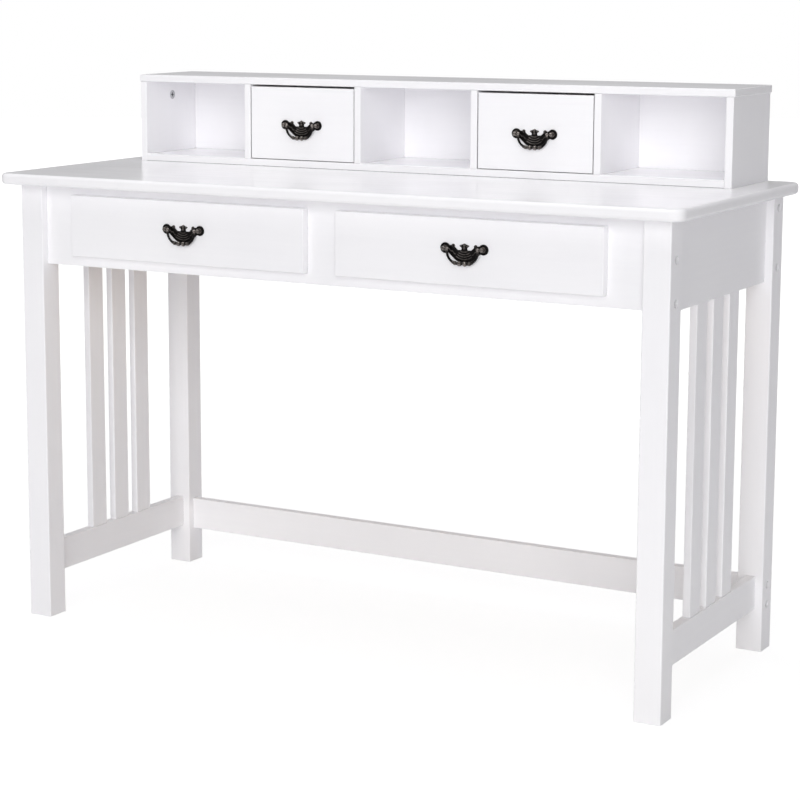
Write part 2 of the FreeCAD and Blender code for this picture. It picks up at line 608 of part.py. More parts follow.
def make_hutch():
    """Top, bottom, sides and dividers of one board thickness, with a thin back in grooves."""
    panel_y = f"({HUTCH_PANEL_FACE_Y} + Sizes.hutch_back_thickness / 2)"
    clear_height = f"({HUTCH_CEILING} - {HUTCH_FLOOR})"
    slot = "(Sizes.hutch_back_thickness + Sizes.panel_clearance)"
    groove = board("hutch_groove", "0", panel_y, f"{HUTCH_FLOOR} - Sizes.hutch_groove_depth",
                   f"{HUTCH_INNER_WIDTH} + 2 * Sizes.hutch_groove_depth", slot,
                   f"{clear_height} + 2 * Sizes.hutch_groove_depth")
    top_depth = "(Sizes.hutch_depth + Sizes.hutch_top_overhang)"
    top = board("hutch_top_blank", "0", f"({HUTCH_FRONT_Y} + {top_depth} / 2)", HUTCH_CEILING,
                f"{HUTCH_INNER_WIDTH} + 2 * Sizes.hutch_board + 2 * Sizes.hutch_top_overhang", top_depth,
                "Sizes.hutch_board")
    soft_top = eased("hutch_top_eased", top, "hutch_top_radius", every_edge)
    keep("hutch_top", cut("hutch_top", soft_top, [groove]))

    front_y = sheet.evalExpression(HUTCH_FRONT_Y)
    floor = board("hutch_bottom_blank", "0", HUTCH_MIDDLE_Y, "Sizes.worktop_height", HUTCH_INNER_WIDTH,
                  "Sizes.hutch_depth", "Sizes.hutch_board")
    soft_floor = eased("hutch_bottom_eased", floor, "board_edge_radius", front_edges(X_AXIS, front_y))
    keep("hutch_bottom", cut("hutch_bottom", soft_floor, [groove]))

    tongue = "(Sizes.hutch_groove_depth - Sizes.panel_clearance)"
    keep("hutch_back", board("hutch_back", "0", panel_y, f"{HUTCH_FLOOR} - {tongue}",
                             f"{HUTCH_INNER_WIDTH} + 2 * {tongue}", "Sizes.hutch_back_thickness",
                             f"{clear_height} + 2 * {tongue}"))

    cams = []
    for side, sign in SIDES:
        cam_z = f"({HUTCH_CEILING} - Sizes.cam_drop)"
        face_x = f"{sign} * {HUTCH_INNER_WIDTH} / 2"
        into_side = FreeCAD.Rotation(Z_AXIS, FreeCAD.Vector(sign, 0, 0))
        hole = rod(f"{side}_cam_hole", face_x, HUTCH_MIDDLE_Y, cam_z,
                   "Sizes.cam_diameter / 2 + Sizes.cam_clearance",
                   "Sizes.cam_depth + Sizes.cam_recess", into_side)
        disc_x = f"{sign} * ({HUTCH_INNER_WIDTH} / 2 + Sizes.cam_recess)"
        disc = rod(f"{side}_cam_disc", disc_x, HUTCH_MIDDLE_Y, cam_z, "Sizes.cam_diameter / 2",
                   "Sizes.cam_depth", into_side)
        slots = []
        for name, across, up in (("level", "Sizes.cam_diameter / 2", "Sizes.cam_slot_width"),
                                 ("upright", "Sizes.cam_slot_width", "Sizes.cam_diameter / 2")):
            slots.append(board(f"{side}_cam_slot_{name}", disc_x, HUTCH_MIDDLE_Y, f"{cam_z} - {up} / 2",
                               "2 * Sizes.cam_slot_depth", across, up))
        cams.append(cut(f"{side}_cam", disc, slots))
        plank = board(f"hutch_{side}_blank", f"{sign} * {HUTCH_SIDE_X}", HUTCH_MIDDLE_Y,
                      "Sizes.worktop_height", "Sizes.hutch_board", "Sizes.hutch_depth",
                      f"{HUTCH_CEILING} - Sizes.worktop_height")
        soft = eased(f"hutch_{side}_eased", plank, "board_edge_radius", front_edges(Z_AXIS, front_y))
        keep(f"hutch_{side}_side", cut(f"hutch_{side}_side", soft, [groove, hole]))
    keep("hutch_cam_locks", group("hutch_cam_locks", cams))

    divider_depth = f"({HUTCH_PANEL_FACE_Y} - {HUTCH_FRONT_Y})"
    divider_y = f"({HUTCH_FRONT_Y} + {divider_depth} / 2)"
    for place_name, reach in (("inner", 0.5), ("outer", 1.5)):
        for side, sign in SIDES:
            name = f"hutch_{place_name}_{side}_divider"
            plank = board(f"{name}_blank", f"{sign} * {reach} * {BAY_PITCH}", divider_y, HUTCH_FLOOR,
                          "Sizes.hutch_board", divider_depth, clear_height)
            keep(name, eased(name, plank, "board_edge_radius", front_edges(Z_AXIS, front_y)))


def make_hutch_drawers():
    """Two inset drawers that slide on the hutch's bottom board; returns their pull places."""
    width = f"({BAY_WIDTH} - 2 * Sizes.hutch_drawer_side_gap)"
    height = (f"({HUTCH_CEILING} - {HUTCH_FLOOR} - Sizes.hutch_drawer_top_gap"
              " - Sizes.hutch_drawer_bottom_gap)")
    bottom = f"({HUTCH_FLOOR} + Sizes.hutch_drawer_bottom_gap)"
    pull_z = f"({bottom} + {height} / 2 + Sizes.hutch_pull_rise)"
    front = (width, height, "Sizes.hutch_drawer_front_thickness")
    box = (width,
           f"({HUTCH_PANEL_FACE_Y} - {HUTCH_FRONT_Y} - Sizes.hutch_drawer_front_thickness"
           " - Sizes.hutch_drawer_back_clearance)",
           f"({HUTCH_CEILING} - {HUTCH_FLOOR} - Sizes.running_clearance - Sizes.hutch_drawer_headroom)")
    pulls = []
    for side, sign in SIDES:
        name = f"hutch_{side}_drawer"
        x = f"{sign} * {BAY_PITCH}"
        make_drawer(name, x, HUTCH_FRONT_Y, bottom, front, box, f"({HUTCH_FLOOR} + Sizes.running_clearance)",
                    "Sizes.hutch_drawer_board", pull_z)
        pulls.append((f"hutch_{side}_pull", x, HUTCH_FRONT_Y, pull_z, "Sizes.hutch_drawer_front_thickness"))
    return pulls


def plate_web():
    """The cast plate between the rosettes: shoulders, straight top, waist and rounded foot."""
    rosette = size("pull_post_spacing") / 2
    inside = size("rosette_radius") / 2
    top_half, top = size("web_top_half"), -size("web_top_drop")
    wing_half, wing = size("wing_half"), size("wing_rise")
    waist_half, waist = size("waist_half"), -size("waist_drop")
    foot_half, foot = size("shield_half"), -size("shield_drop")
    swell = size("shield_swell")

    def point(x, z):
        return FreeCAD.Vector(x, 0, z)

    def arc(start, end, bulge):
        """A bend between two points that stands off their chord by so much, to its left."""
        chord = end - start
        normal = FreeCAD.Vector(-chord.z, 0, chord.x).normalize()
        return Part.Arc(start, (start + end) / 2 + normal * bulge, end).toShape()

    half = (
        (point(top_half, top), point(wing_half, wing), -swell),
        (point(wing_half, wing), point(rosette, inside), 0),
        (point(rosette, inside), point(rosette, -inside), 0),
        (point(rosette, -inside), point(waist_half, waist), -swell),
        (point(waist_half, waist), point(foot_half, foot), swell),
    )
    edges = [Part.makeLine(point(-top_half, top), point(top_half, top)),
             arc(point(foot_half, foot), point(-foot_half, foot), swell)]
    for start, end, bulge in half:
        mirrored = (point(-end.x, end.z), point(-start.x, start.z))
        for first, second in ((start, end), mirrored):
            edges.append(arc(first, second, bulge) if bulge else Part.makeLine(first, second))
    wire = Part.Wire(Part.__sortEdges__(edges))
    return Part.Face(wire).extrude(FreeCAD.Vector(0, -size("plate_thickness"), 0))


def make_plate(name, x, y, z):
    """The backplate: web, rosettes with rims, scroll buttons, a three-lobed crown and swags."""
    web = doc.addObject("Part::Feature", f"{name}_web")
    web.Shape = plate_web()
    place(web, x, y, z)
    pieces = [web]
    holes = []
    for hand, sign in SIDES:
        post_x = f"{x} + {sign} * Sizes.pull_post_spacing / 2"
        pieces.append(rod(f"{name}_disc_{hand}", post_x, y, z, "Sizes.rosette_radius",
                          "Sizes.plate_thickness - Sizes.rosette_rim / 2", FORWARD))
        rim_y = f"{y} - Sizes.plate_thickness + Sizes.rosette_rim / 2"
        pieces.append(ring(f"{name}_rim_{hand}", post_x, rim_y, z,
                           "Sizes.rosette_radius - Sizes.rosette_rim", "Sizes.rosette_rim", FORWARD, 360))
        boss = doc.addObject("Part::Cone", f"{name}_boss_{hand}")
        bind(boss, Radius1="Sizes.rosette_boss_radius",
             Radius2="Sizes.rosette_boss_radius - Sizes.rosette_rim", Height="Sizes.rosette_boss_height")
        pieces.append(place(boss, post_x, y, z, FORWARD))
        pieces.append(dome(f"{name}_scroll_{hand}", f"{x} + {sign} * Sizes.scroll_offset", y,
                           f"{z} + Sizes.scroll_rise", "Sizes.scroll_radius"))
        pieces.append(dome(f"{name}_crown_{hand}", f"{x} + {sign} * Sizes.crown_side_offset", y,
                           f"{z} + Sizes.crown_side_rise", "Sizes.crown_side_radius"))
        holes.append(rod(f"{name}_hole_{hand}", post_x, y, z, SHANK_BORE_RADIUS,
                         "Sizes.rosette_boss_height", FORWARD))
    pieces.append(dome(f"{name}_crown_middle", x, y, f"{z} + Sizes.crown_rise", "Sizes.crown_radius"))
    stem_height = "(Sizes.crown_rise + Sizes.web_top_drop)"
    pieces.append(board(f"{name}_stem", x, f"{y} - Sizes.plate_thickness / 2", f"{z} - Sizes.web_top_drop",
                        "2 * Sizes.crown_stem_half", "Sizes.plate_thickness", stem_height))
    hang = FORWARD.multiply(FreeCAD.Rotation(Z_AXIS, -90 - size("rib_sweep") / 2))
    for number in range(int(size("rib_count"))):
        pieces.append(ring(f"{name}_swag_{number}", x, f"{y} - Sizes.plate_thickness",
                           f"{z} + Sizes.rib_centre_rise", f"Sizes.rib_first + {number} * Sizes.rib_pitch",
                           "Sizes.rib_radius", hang, "Sizes.rib_sweep"))
    keep(f"{name}_plate", cut(f"{name}_plate", joined(f"{name}_casting", pieces), holes))


def make_posts(name, x, y, z, front_thickness):
    """Two turned posts with ball heads, bored for the bail, each held by a nut behind the front."""
    nut_face = f"({y} + {front_thickness})"
    shank_end = f"({front_thickness} + 2 * Sizes.pull_nut_height)"
    collar_front = "(Sizes.rosette_boss_height + Sizes.post_collar_height)"
    pieces = []
    for hand, sign in SIDES:
        post_x = f"{x} + {sign} * Sizes.pull_post_spacing / 2"
        post = f"{name}_post_{hand}"
        shank = rod(f"{post}_shank", post_x, f"{y} + {shank_end}", z, "Sizes.post_shank_radius",
                    f"{shank_end} + Sizes.rosette_boss_height", FORWARD)
        collar = rod(f"{post}_collar", post_x, f"{y} - Sizes.rosette_boss_height", z,
                     "Sizes.post_collar_radius", "Sizes.post_collar_height", FORWARD)
        stem = rod(f"{post}_stem", post_x, f"{y} - {collar_front}", z, "Sizes.post_stem_radius",
                   f"{POST_STANDOFF} - {collar_front}", FORWARD)
        head = ball(f"{post}_head", post_x, f"{y} - {POST_STANDOFF}", z, "Sizes.post_head_radius")
        bore = rod(f"{post}_bore", f"{post_x} - Sizes.post_head_radius", f"{y} - {POST_STANDOFF}", z,
                   PIN_BORE_RADIUS, "2 * Sizes.post_head_radius", ALONG_X)
        pieces.append(cut(post, joined(f"{post}_turned", [shank, collar, stem, head]), [bore]))

        blank = doc.addObject("Part::Prism", f"{post}_nut_blank")
        bind(blank, Circumradius="Sizes.pull_nut_width / 2", Height="Sizes.pull_nut_height")
        place(blank, post_x, nut_face, z, ALONG_Y)
        thread = rod(f"{post}_thread", post_x, nut_face, z,
                     "Sizes.post_shank_radius + Sizes.thread_clearance", "Sizes.pull_nut_height", ALONG_Y)
        pieces.append(cut(f"{post}_nut", blank, [thread]))
    keep(f"{name}_posts", group(f"{name}_posts", pieces))


def bail_path():
    """Middle line of the bail's bar: down one arm, round, along the grip and up the other arm."""
    arm_x = sheet.evalExpression(ARM_X)
    bow = size("bail_bow")
    drop = size("bail_drop")
    bend_x = arm_x - bow
    bend_z = bow - drop
    middle = bow * math.sqrt(0.5)
    edges = [
        Part.makeLine(FreeCAD.Vector(-arm_x, 0, 0), FreeCAD.Vector(-arm_x, 0, bend_z)),
        Part.Arc(FreeCAD.Vector(-arm_x, 0, bend_z), FreeCAD.Vector(-bend_x - middle, 0, bend_z - middle),
                 FreeCAD.Vector(-bend_x, 0, -drop)).toShape(),
        Part.makeLine(FreeCAD.Vector(-bend_x, 0, -drop), FreeCAD.Vector(bend_x, 0, -drop)),
        Part.Arc(FreeCAD.Vector(bend_x, 0, -drop), FreeCAD.Vector(bend_x + middle, 0, bend_z - middle),
                 FreeCAD.Vector(arm_x, 0, bend_z)).toShape(),
        Part.makeLine(FreeCAD.Vector(arm_x, 0, bend_z), FreeCAD.Vector(arm_x, 0, 0)),
    ]
    return Part.Wire(edges)


def make_bail(name, x, y, z):
    """The hanging bail: a bent bar with pins, knuckles and a beaded grip, about the post axis."""
    axis_y = f"({y} - {POST_STANDOFF})"
    bend_x = f"({ARM_X} - Sizes.bail_bow)"
    bend_z = f"({z} - Sizes.bail_drop + Sizes.bail_bow)"
    grip_z = f"({z} - Sizes.bail_drop)"
    pin_length = "(Sizes.knuckle_radius + Sizes.knuckle_gap + 2 * Sizes.post_head_radius)"
    path = doc.addObject("Part::Feature", f"{name}_path")
    path.Shape = bail_path()
    place(path, x, axis_y, z)
    section = doc.addObject("Part::Circle", f"{name}_section")
    bind(section, Radius="Sizes.bail_radius")
    place(section, f"{x} - {ARM_X}", axis_y, z)
    bar = doc.addObject("Part::Sweep", f"{name}_bar")
    bar.Sections = [section]
    bar.Spine = (path, [f"Edge{number}" for number in range(1, len(path.Shape.Edges) + 1)])
    bar.Solid = True
    pieces = [bar]
    for hand, sign in SIDES:
        outward = FreeCAD.Rotation(Z_AXIS, FreeCAD.Vector(sign, 0, 0))
        arm_x = f"{x} + {sign} * {ARM_X}"
        centre_x = f"{x} + {sign} * {bend_x}"
        pieces.append(ball(f"{name}_knuckle_{hand}", arm_x, axis_y, z, "Sizes.knuckle_radius"))
        pieces.append(rod(f"{name}_pin_{hand}", arm_x, axis_y, z, "Sizes.bail_pin_radius", pin_length,
                          outward))
        pieces.append(ball(f"{name}_bead_{hand}", f"{x} + {sign} * Sizes.bead_offset", axis_y, grip_z,
                           "Sizes.bead_radius", ALONG_X))
        lean = "Sizes.small_bead_angle * 1 deg"
        along_bend = FreeCAD.Rotation(Y_AXIS, -sign * size("small_bead_angle")).multiply(ALONG_X)
        bead_x = f"{centre_x} + {sign} * Sizes.bail_bow * sin({lean})"
        bead_z = f"{bend_z} - Sizes.bail_bow * cos({lean})"
        pieces.append(ball(f"{name}_small_bead_{hand}", bead_x, axis_y, bead_z, "Sizes.small_bead_radius",
                           along_bend))
    keep(f"{name}_bail", joined(f"{name}_bail", pieces))


def make_pull(name, x, y, z, front_thickness):
    """One cast bail pull on a drawer front."""
    make_plate(name, x, y, z)
    make_posts(name, x, y, z, front_thickness)
    make_bail(name, x, y, z)


def check_document():
    """Stops on any failed object and on any sub-part that isn't a valid solid."""
    for item in doc.Objects:
        if {"Invalid", "Error"} & set(item.State):
            raise RuntimeError(f"{item.Label} failed: {item.State}")
    for item in nodes:
        if item.Shape.isNull() or not item.Shape.isValid() or not item.Shape.Solids:
            raise RuntimeError(f"{item.Label} has no valid solid")


def write_parts():
    """Writes each sub-part to its own file."""
    os.makedirs("parts", exist_ok=True)
    for item in nodes:
        item.Shape.exportStep(os.path.join("parts", f"{item.Label}.step"))


make_worktop()
leg_bores, rail_bores = make_bolts()
make_legs(leg_bores)
make_end_frames()
make_cross_rails(rail_bores)
make_runners()
make_hutch()
for pull in make_desk_drawers() + make_hutch_drawers():
    make_pull(*pull)
doc.recompute()
check_document()
write_parts()
print(len(nodes), "sub-parts,", sum(len(item.Shape.Solids) for item in nodes), "solids")
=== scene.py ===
import math

import bmesh
import bpy
import numpy as np
from bpy.props import FloatProperty, FloatVectorProperty, IntProperty, PointerProperty
from mathutils import Matrix, Vector


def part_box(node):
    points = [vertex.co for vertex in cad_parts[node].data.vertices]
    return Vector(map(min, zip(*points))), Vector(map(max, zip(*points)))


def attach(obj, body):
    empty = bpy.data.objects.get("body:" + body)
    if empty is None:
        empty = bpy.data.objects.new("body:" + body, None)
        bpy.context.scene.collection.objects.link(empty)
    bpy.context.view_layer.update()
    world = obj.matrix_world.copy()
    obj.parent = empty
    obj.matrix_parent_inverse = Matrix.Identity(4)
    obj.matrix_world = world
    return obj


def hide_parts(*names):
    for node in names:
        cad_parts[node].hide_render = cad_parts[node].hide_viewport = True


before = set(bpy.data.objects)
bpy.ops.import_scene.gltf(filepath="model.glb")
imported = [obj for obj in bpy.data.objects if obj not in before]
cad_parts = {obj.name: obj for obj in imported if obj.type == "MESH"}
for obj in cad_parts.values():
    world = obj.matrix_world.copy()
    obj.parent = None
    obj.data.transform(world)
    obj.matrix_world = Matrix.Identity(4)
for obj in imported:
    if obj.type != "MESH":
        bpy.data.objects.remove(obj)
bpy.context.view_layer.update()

bl_info = {
    "name": "Student desk with hutch",
    "version": (1, 0, 0),
    "blender": (4, 5, 0),
    "location": "View3D > Sidebar > Desk",
    "description": "Paints a white student desk, casts its bail pulls and sets the studio",
    "category": "Object",
}

MM = 0.001

# Nodes of the frame, grouped by their finish and the way their grain runs
PULLS = ("desk_left", "desk_right", "hutch_left", "hutch_right")
SIDES = ("left", "right")
WORKTOP = ("worktop",)
HUTCH_LEVELS = ("hutch_top", "hutch_bottom")
LONG_BOARDS = (
    "front_apron", "rear_apron", "rear_stretcher", "hutch_back",
) + tuple(f"{key}_drawer_front" for key in PULLS)
DEEP_BOARDS = tuple(f"{side}_{rail}" for side in SIDES for rail in ("side_apron", "lower_rail"))
UPRIGHT_BOARDS = (
    tuple(f"{end}_{side}_leg" for end in ("front", "rear") for side in SIDES)
    + tuple(f"{side}_slats" for side in SIDES)
    + tuple(f"hutch_{side}_side" for side in SIDES)
    + tuple(f"hutch_{reach}_{side}_divider" for reach in ("inner", "outer") for side in SIDES)
)
BOX_SIDES = tuple(f"{key}_drawer_{side}_side" for key in PULLS for side in SIDES)
BOX_BACKS = tuple(f"{key}_drawer_back" for key in PULLS)
BOX_BOTTOMS = tuple(f"{key}_drawer_bottom" for key in PULLS)
RUNNERS = tuple(f"{side}_drawer_runners" for side in SIDES)
FITTINGS = ("frame_bolts", "barrel_nuts", "hutch_cam_locks")
POSTS = tuple(f"{key}_pull_posts" for key in PULLS)

# Shapes of a pull in millimetres, seen from the middle of its post line
# Edges of the plate: distance to the side, height
PLATE_UPPER = ((0, -2.2), (11.5, -2.2), (17, 3.4), (20, 4.4), (26, 4.8), (31.5, 5.0))
PLATE_LOWER = (
    (0, -20.9), (6, -20.6), (11, -19.5), (15, -17.2), (19, -13.6), (25, -8.0), (31.5, -4.6),
)
# Section of a rosette: distance from its middle, height
ROSETTE = (
    (2.2, 0.0), (2.2, 2.75), (2.45, 2.9), (3.9, 2.9), (4.25, 2.75), (4.5, 1.9), (4.7, 1.45),
    (5.1, 1.5), (5.5, 1.6), (5.9, 1.5), (6.2, 1.45), (6.35, 1.75), (6.6, 2.1), (6.95, 2.28),
    (7.3, 2.2), (7.6, 1.95), (7.85, 1.5), (8.0, 0.9), (8.0, 0.0),
)
# Scroll button: distance to the side, height of its middle, radius
SCROLL = (18.5, 3.6, 2.9)
# Outline of the crown: height, half width
CROWN = (
    (-3.4, 5.6), (-1.6, 5.2), (0.2, 4.6), (1.2, 4.8), (2.4, 6.2), (3.4, 7.7), (4.4, 8.2),
    (5.2, 7.2), (5.8, 4.4), (6.4, 2.9), (7.2, 1.9), (8.0, 0.0),
)
# Lobes of the crown: distance to the side, height of the middle, radius
CROWN_LOBES = ((0.0, 5.3, 2.7), (-5.6, 4.1, 2.5), (5.6, 4.1, 2.5), (0.0, 0.9, 2.6))
# Beads of the bail: length along its line from the middle, radius
BEADS = ((4.4, 3.9), (9.3, 2.4), (12.1, 3.1), (15.4, 2.5))
KNUCKLE = 2.7
# Section of a pin: radius, length from the arm
PIN = ((0.0, 0.0), (1.0, 0.0), (1.0, 2.0), (1.2, 2.4), (1.2, 9.2), (0.9, 9.55), (0.0, 9.6))

# Inputs of the three shader effects, and the outputs that all of them have
PAINT_INPUTS = {"Place": "Vector", "Stretch": "Vector", "Paint": "Color", "Sheen": "Float"}
WOOD_INPUTS = {
    "Place": "Vector", "Stretch": "Vector", "Band": "Float", "Pale": "Color", "Dark": "Color",
}
METAL_INPUTS = {
    "Place": "Vector", "Proud": "Float", "Hollow": "Color", "Rubbed": "Color", "Grit": "Float",
}
EFFECT_OUTPUTS = {"Colour": "Color", "Roughness": "Float", "Height": "Float"}

# Lamps: name, place, width, whether gloss sees it, whether matt faces do
LAMPS = (
    ("front", (3.98, -10.94, 3.50), 9.0, False, True),
    ("right", (7.62, -4.40, 2.47), 6.5, False, True),
    ("top", (0.0, -0.5, 4.0), 2.4, True, True),
    ("glint", (0.67, -3.80, 5.20), 0.8, True, False),
)
LAMP_AIM = (0.0, 0.0, 0.6)
WHITE = (1.0, 1.0, 1.0, 1.0)
ROOM_TINT = (0.99, 0.975, 1.025, 1.0)


class PaintSettings(bpy.types.PropertyGroup):
    """White satin paint on every board that shows."""

    colour: FloatVectorProperty(
        name="Paint", description="Colour of the paint", subtype="COLOR", size=3,
        min=0.0, max=1.0, default=(0.968, 0.963, 0.974))
    sheen: FloatProperty(
        name="Board roughness", description="Roughness of the paint on upright boards and rails",
        min=0.05, max=1.0, default=0.42)
    top_sheen: FloatProperty(
        name="Worktop roughness",
        description="Roughness of the harder paint on the worktop and the hutch's top and bottom",
        min=0.05, max=1.0, default=0.2)
    film: FloatProperty(
        name="Film relief", description="Depth of the grain and brush marks in the paint film",
        unit="LENGTH", min=0.0, max=0.001, precision=6, default=0.00012)


class WoodSettings(bpy.types.PropertyGroup):
    """Sanded, unpainted wood of the drawer boxes and runners."""

    pale: FloatVectorProperty(
        name="Early wood", description="Colour of the wide pale bands", subtype="COLOR", size=3,
        min=0.0, max=1.0, default=(0.70, 0.52, 0.33))
    dark: FloatVectorProperty(
        name="Late wood", description="Colour of the thin dark bands", subtype="COLOR", size=3,
        min=0.0, max=1.0, default=(0.47, 0.29, 0.15))
    band: FloatProperty(
        name="Band width", description="Distance from one growth ring to the next",
        unit="LENGTH", min=0.001, max=0.05, default=0.007)


class MetalSettings(bpy.types.PropertyGroup):
    """Dark bronze of the pulls and zinc of the fittings."""

    patina: FloatVectorProperty(
        name="Patina", description="Colour in the hollows of the castings", subtype="COLOR",
        size=3, min=0.0, max=1.0, default=(0.013, 0.0115, 0.0115))
    bronze: FloatVectorProperty(
        name="Rubbed bronze", description="Colour of the raised parts of the castings",
        subtype="COLOR", size=3, min=0.0, max=1.0, default=(0.30, 0.27, 0.25))
    zinc: FloatVectorProperty(
        name="Zinc", description="Colour of bolts, nuts and cams", subtype="COLOR", size=3,
        min=0.0, max=1.0, default=(0.66, 0.66, 0.68))


class PullSettings(bpy.types.PropertyGroup):
    """Sizes of a cast bail pull."""

    spacing: FloatProperty(
        name="Post spacing", description="Post to post", unit="LENGTH", default=0.063)
    standoff: FloatProperty(
        name="Bail standoff", description="Bail axis in front of the drawer face",
        unit="LENGTH", default=0.0075)
    rosette: FloatProperty(
        name="Rosette radius", description="Round end of the backplate", unit="LENGTH",
        default=0.008)
    petals: IntProperty(
        name="Petals", description="Petals round a rosette", min=3, max=24, default=12)
    arm: FloatProperty(
        name="Arm offset", description="Arm of the bail from the pull's middle", unit="LENGTH",
        default=0.0252)
    bow: FloatProperty(
        name="Bend radius", description="Bend between an arm and the grip", unit="LENGTH",
        default=0.0172)
    drop: FloatProperty(
        name="Drop", description="Grip below the bail axis", unit="LENGTH", default=0.0215)


class StageSettings(bpy.types.PropertyGroup):
    """Camera, lamps, floor and backdrop."""

    lens: FloatProperty(
        name="Lens", description="Focal length in millimetres", min=10.0, max=500.0,
        default=100.5)
    shift: FloatVectorProperty(
        name="Shift", description="Lens shift to the right and up", size=2,
        default=(0.1, -0.075))
    place: FloatVectorProperty(
        name="Camera place", description="Where the camera stands", subtype="TRANSLATION",
        unit="LENGTH", size=3, default=(1.74483, -3.13029, 1.06822))
    turn: FloatVectorProperty(
        name="Camera turn", description="Turn to the left, tilt down and lean",
        subtype="EULER", size=3,
        default=(math.radians(30.9162), math.radians(9.1917), math.radians(-0.1015)))
    front_light: FloatProperty(
        name="Front lamp", description="Large soft box in front, a little to the right",
        unit="POWER", min=0.0, max=2000.0, default=935.0)
    right_light: FloatProperty(
        name="Right lamp", description="Large soft box at the right",
        unit="POWER", min=0.0, max=2000.0, default=55.0)
    top_light: FloatProperty(
        name="Top lamp", description="Soft box overhead",
        unit="POWER", min=0.0, max=2000.0, default=50.0)
    glint_light: FloatProperty(
        name="Glint lamp", description="Small soft box high in front, for the glints on metal",
        unit="POWER", min=0.0, max=2000.0, default=34.0)
    sky: FloatProperty(
        name="Room light", description="Even light from all round", min=0.0, max=5.0,
        default=0.1)
    rear_wall: FloatProperty(
        name="Rear wall", description="Soft light from a pale wall behind, on the left",
        min=0.0, max=5.0, default=0.85)
    far_wall: FloatProperty(
        name="Far wall", description="How bright the room is near the horizon, seen in gloss",
        min=0.0, max=1.0, default=0.26)


def feed(tree, socket, value):
    """Joins an input to another socket, or sets its value."""
    if isinstance(value, bpy.types.NodeSocket):
        tree.links.new(value, socket)
    else:
        socket.default_value = value


def add_node(tree, kind, inputs=(), **settings):
    """One node in a tree; its inputs are values or sockets, found by their name or number."""
    made = tree.nodes.new(kind)
    for name, value in settings.items():
        setattr(made, name, value)
    for name, value in dict(inputs).items():
        feed(tree, made.inputs[name], value)
    return made


def maths(tree, operation, first, second=0.0):
    """One sum of two numbers or sockets."""
    made = add_node(tree, "ShaderNodeMath", {0: first, 1: second}, operation=operation)
    return made.outputs[0]


def times(tree, first, second):
    """A vector or colour times another, part by part."""
    made = add_node(tree, "ShaderNodeVectorMath", {0: first, 1: second}, operation="MULTIPLY")
    return made.outputs[0]


def weigh(tree, first, first_weight, second, second_weight):
    """The sum of two numbers, each times its weight."""
    return maths(tree, "ADD", maths(tree, "MULTIPLY", first, first_weight),
                 maths(tree, "MULTIPLY", second, second_weight))


def sway(tree, noise, depth):
    """Noise about one half, made to swing about zero."""
    return maths(tree, "MULTIPLY", maths(tree, "SUBTRACT", noise, 0.5), depth)


def blend(tree, share, first, second):
    """A colour between two others."""
    made = add_node(tree, "ShaderNodeMix", {"Factor": share}, data_type="RGBA")
    sockets = {item.identifier: item for item in (*made.inputs, *made.outputs)}
    feed(tree, sockets["A_Color"], first)
    feed(tree, sockets["B_Color"], second)
    return sockets["Result_Color"]


def spread(tree, value, low, high, new_low=0.0, new_high=1.0):
    """A number carried from one range to another and kept inside it."""
    return add_node(tree, "ShaderNodeMapRange", {
        "Value": value, "From Min": low, "From Max": high, "To Min": new_low, "To Max": new_high,
    }).outputs["Result"]


def clouds(tree, place, scale, detail=2.0, rough=0.5):
    """Soft noise of a scale, about one half on average."""
    return add_node(tree, "ShaderNodeTexNoise", {
        "Vector": place, "Scale": scale, "Detail": detail, "Roughness": rough,
    }).outputs["Fac"]


def openness(tree, reach):
    """One on an open face, less near other faces that are within reach, in metres."""
    made = add_node(tree, "ShaderNodeAmbientOcclusion", {"Distance": reach}, samples=6)
    return made.outputs["AO"]


def paint_film(tree, given):
    """Paint over wood: cloudy tone, faint grain, fine orange peel, and painted shade that darkens
    the joints, gaps and corners.
    """
    worn_tint = (0.955, 0.955, 0.962)
    # Colour of the painted shade in joints, gaps and corners
    joint_shade_tint = (0.42, 0.41, 0.42)
    joint_shade_reach = 0.003
    stretched = times(tree, given["Place"], given["Stretch"])
    grain = clouds(tree, stretched, scale=1.0, detail=5.0, rough=0.6)
    tone = clouds(tree, given["Place"], scale=2.3, detail=3.0)
    peel = clouds(tree, given["Place"], scale=700.0, detail=1.0)
    share = weigh(tree, tone, 0.75, grain, 0.25)
    worn = times(tree, given["Paint"], worn_tint)
    film = blend(tree, spread(tree, share, 0.36, 0.64), worn, given["Paint"])
    shaded_film = times(tree, film, joint_shade_tint)
    # Painted shade: the paint turns darker where other faces are near, in joints, gaps and corners
    colour = blend(tree, spread(tree, openness(tree, joint_shade_reach), 0.15, 0.6), shaded_film, film)
    roughness = maths(tree, "ADD", given["Sheen"], sway(tree, share, 0.28))
    height = weigh(tree, grain, 0.7, peel, 0.3)
    return colour, roughness, height


def wood_grain(tree, given):
    """Growth rings cut lengthwise: bands across the board, bent by slow noise, and fine pores."""
    bend_width, sharpness = 0.11, 3.0
    slow = times(tree, given["Place"], given["Stretch"])
    x, y, z = add_node(tree, "ShaderNodeSeparateXYZ", {0: slow}).outputs
    across = maths(tree, "ADD", maths(tree, "ADD", x, y), z)
    bend = maths(tree, "MULTIPLY", clouds(tree, slow, scale=6.0), bend_width)
    bent = maths(tree, "ADD", across, bend)
    turn = maths(tree, "FRACT", maths(tree, "DIVIDE", bent, given["Band"]))
    ring = maths(tree, "POWER", turn, sharpness)
    pores = clouds(tree, slow, scale=884.0, detail=3.0, rough=0.7)
    stain = weigh(tree, ring, 0.6, pores, 0.3)
    colour = blend(tree, spread(tree, stain, 0.08, 0.9), given["Pale"], given["Dark"])
    roughness = spread(tree, stain, 0.0, 1.0, 0.5, 0.72)
    height = maths(tree, "SUBTRACT", 1.0, stain)
    return colour, roughness, height


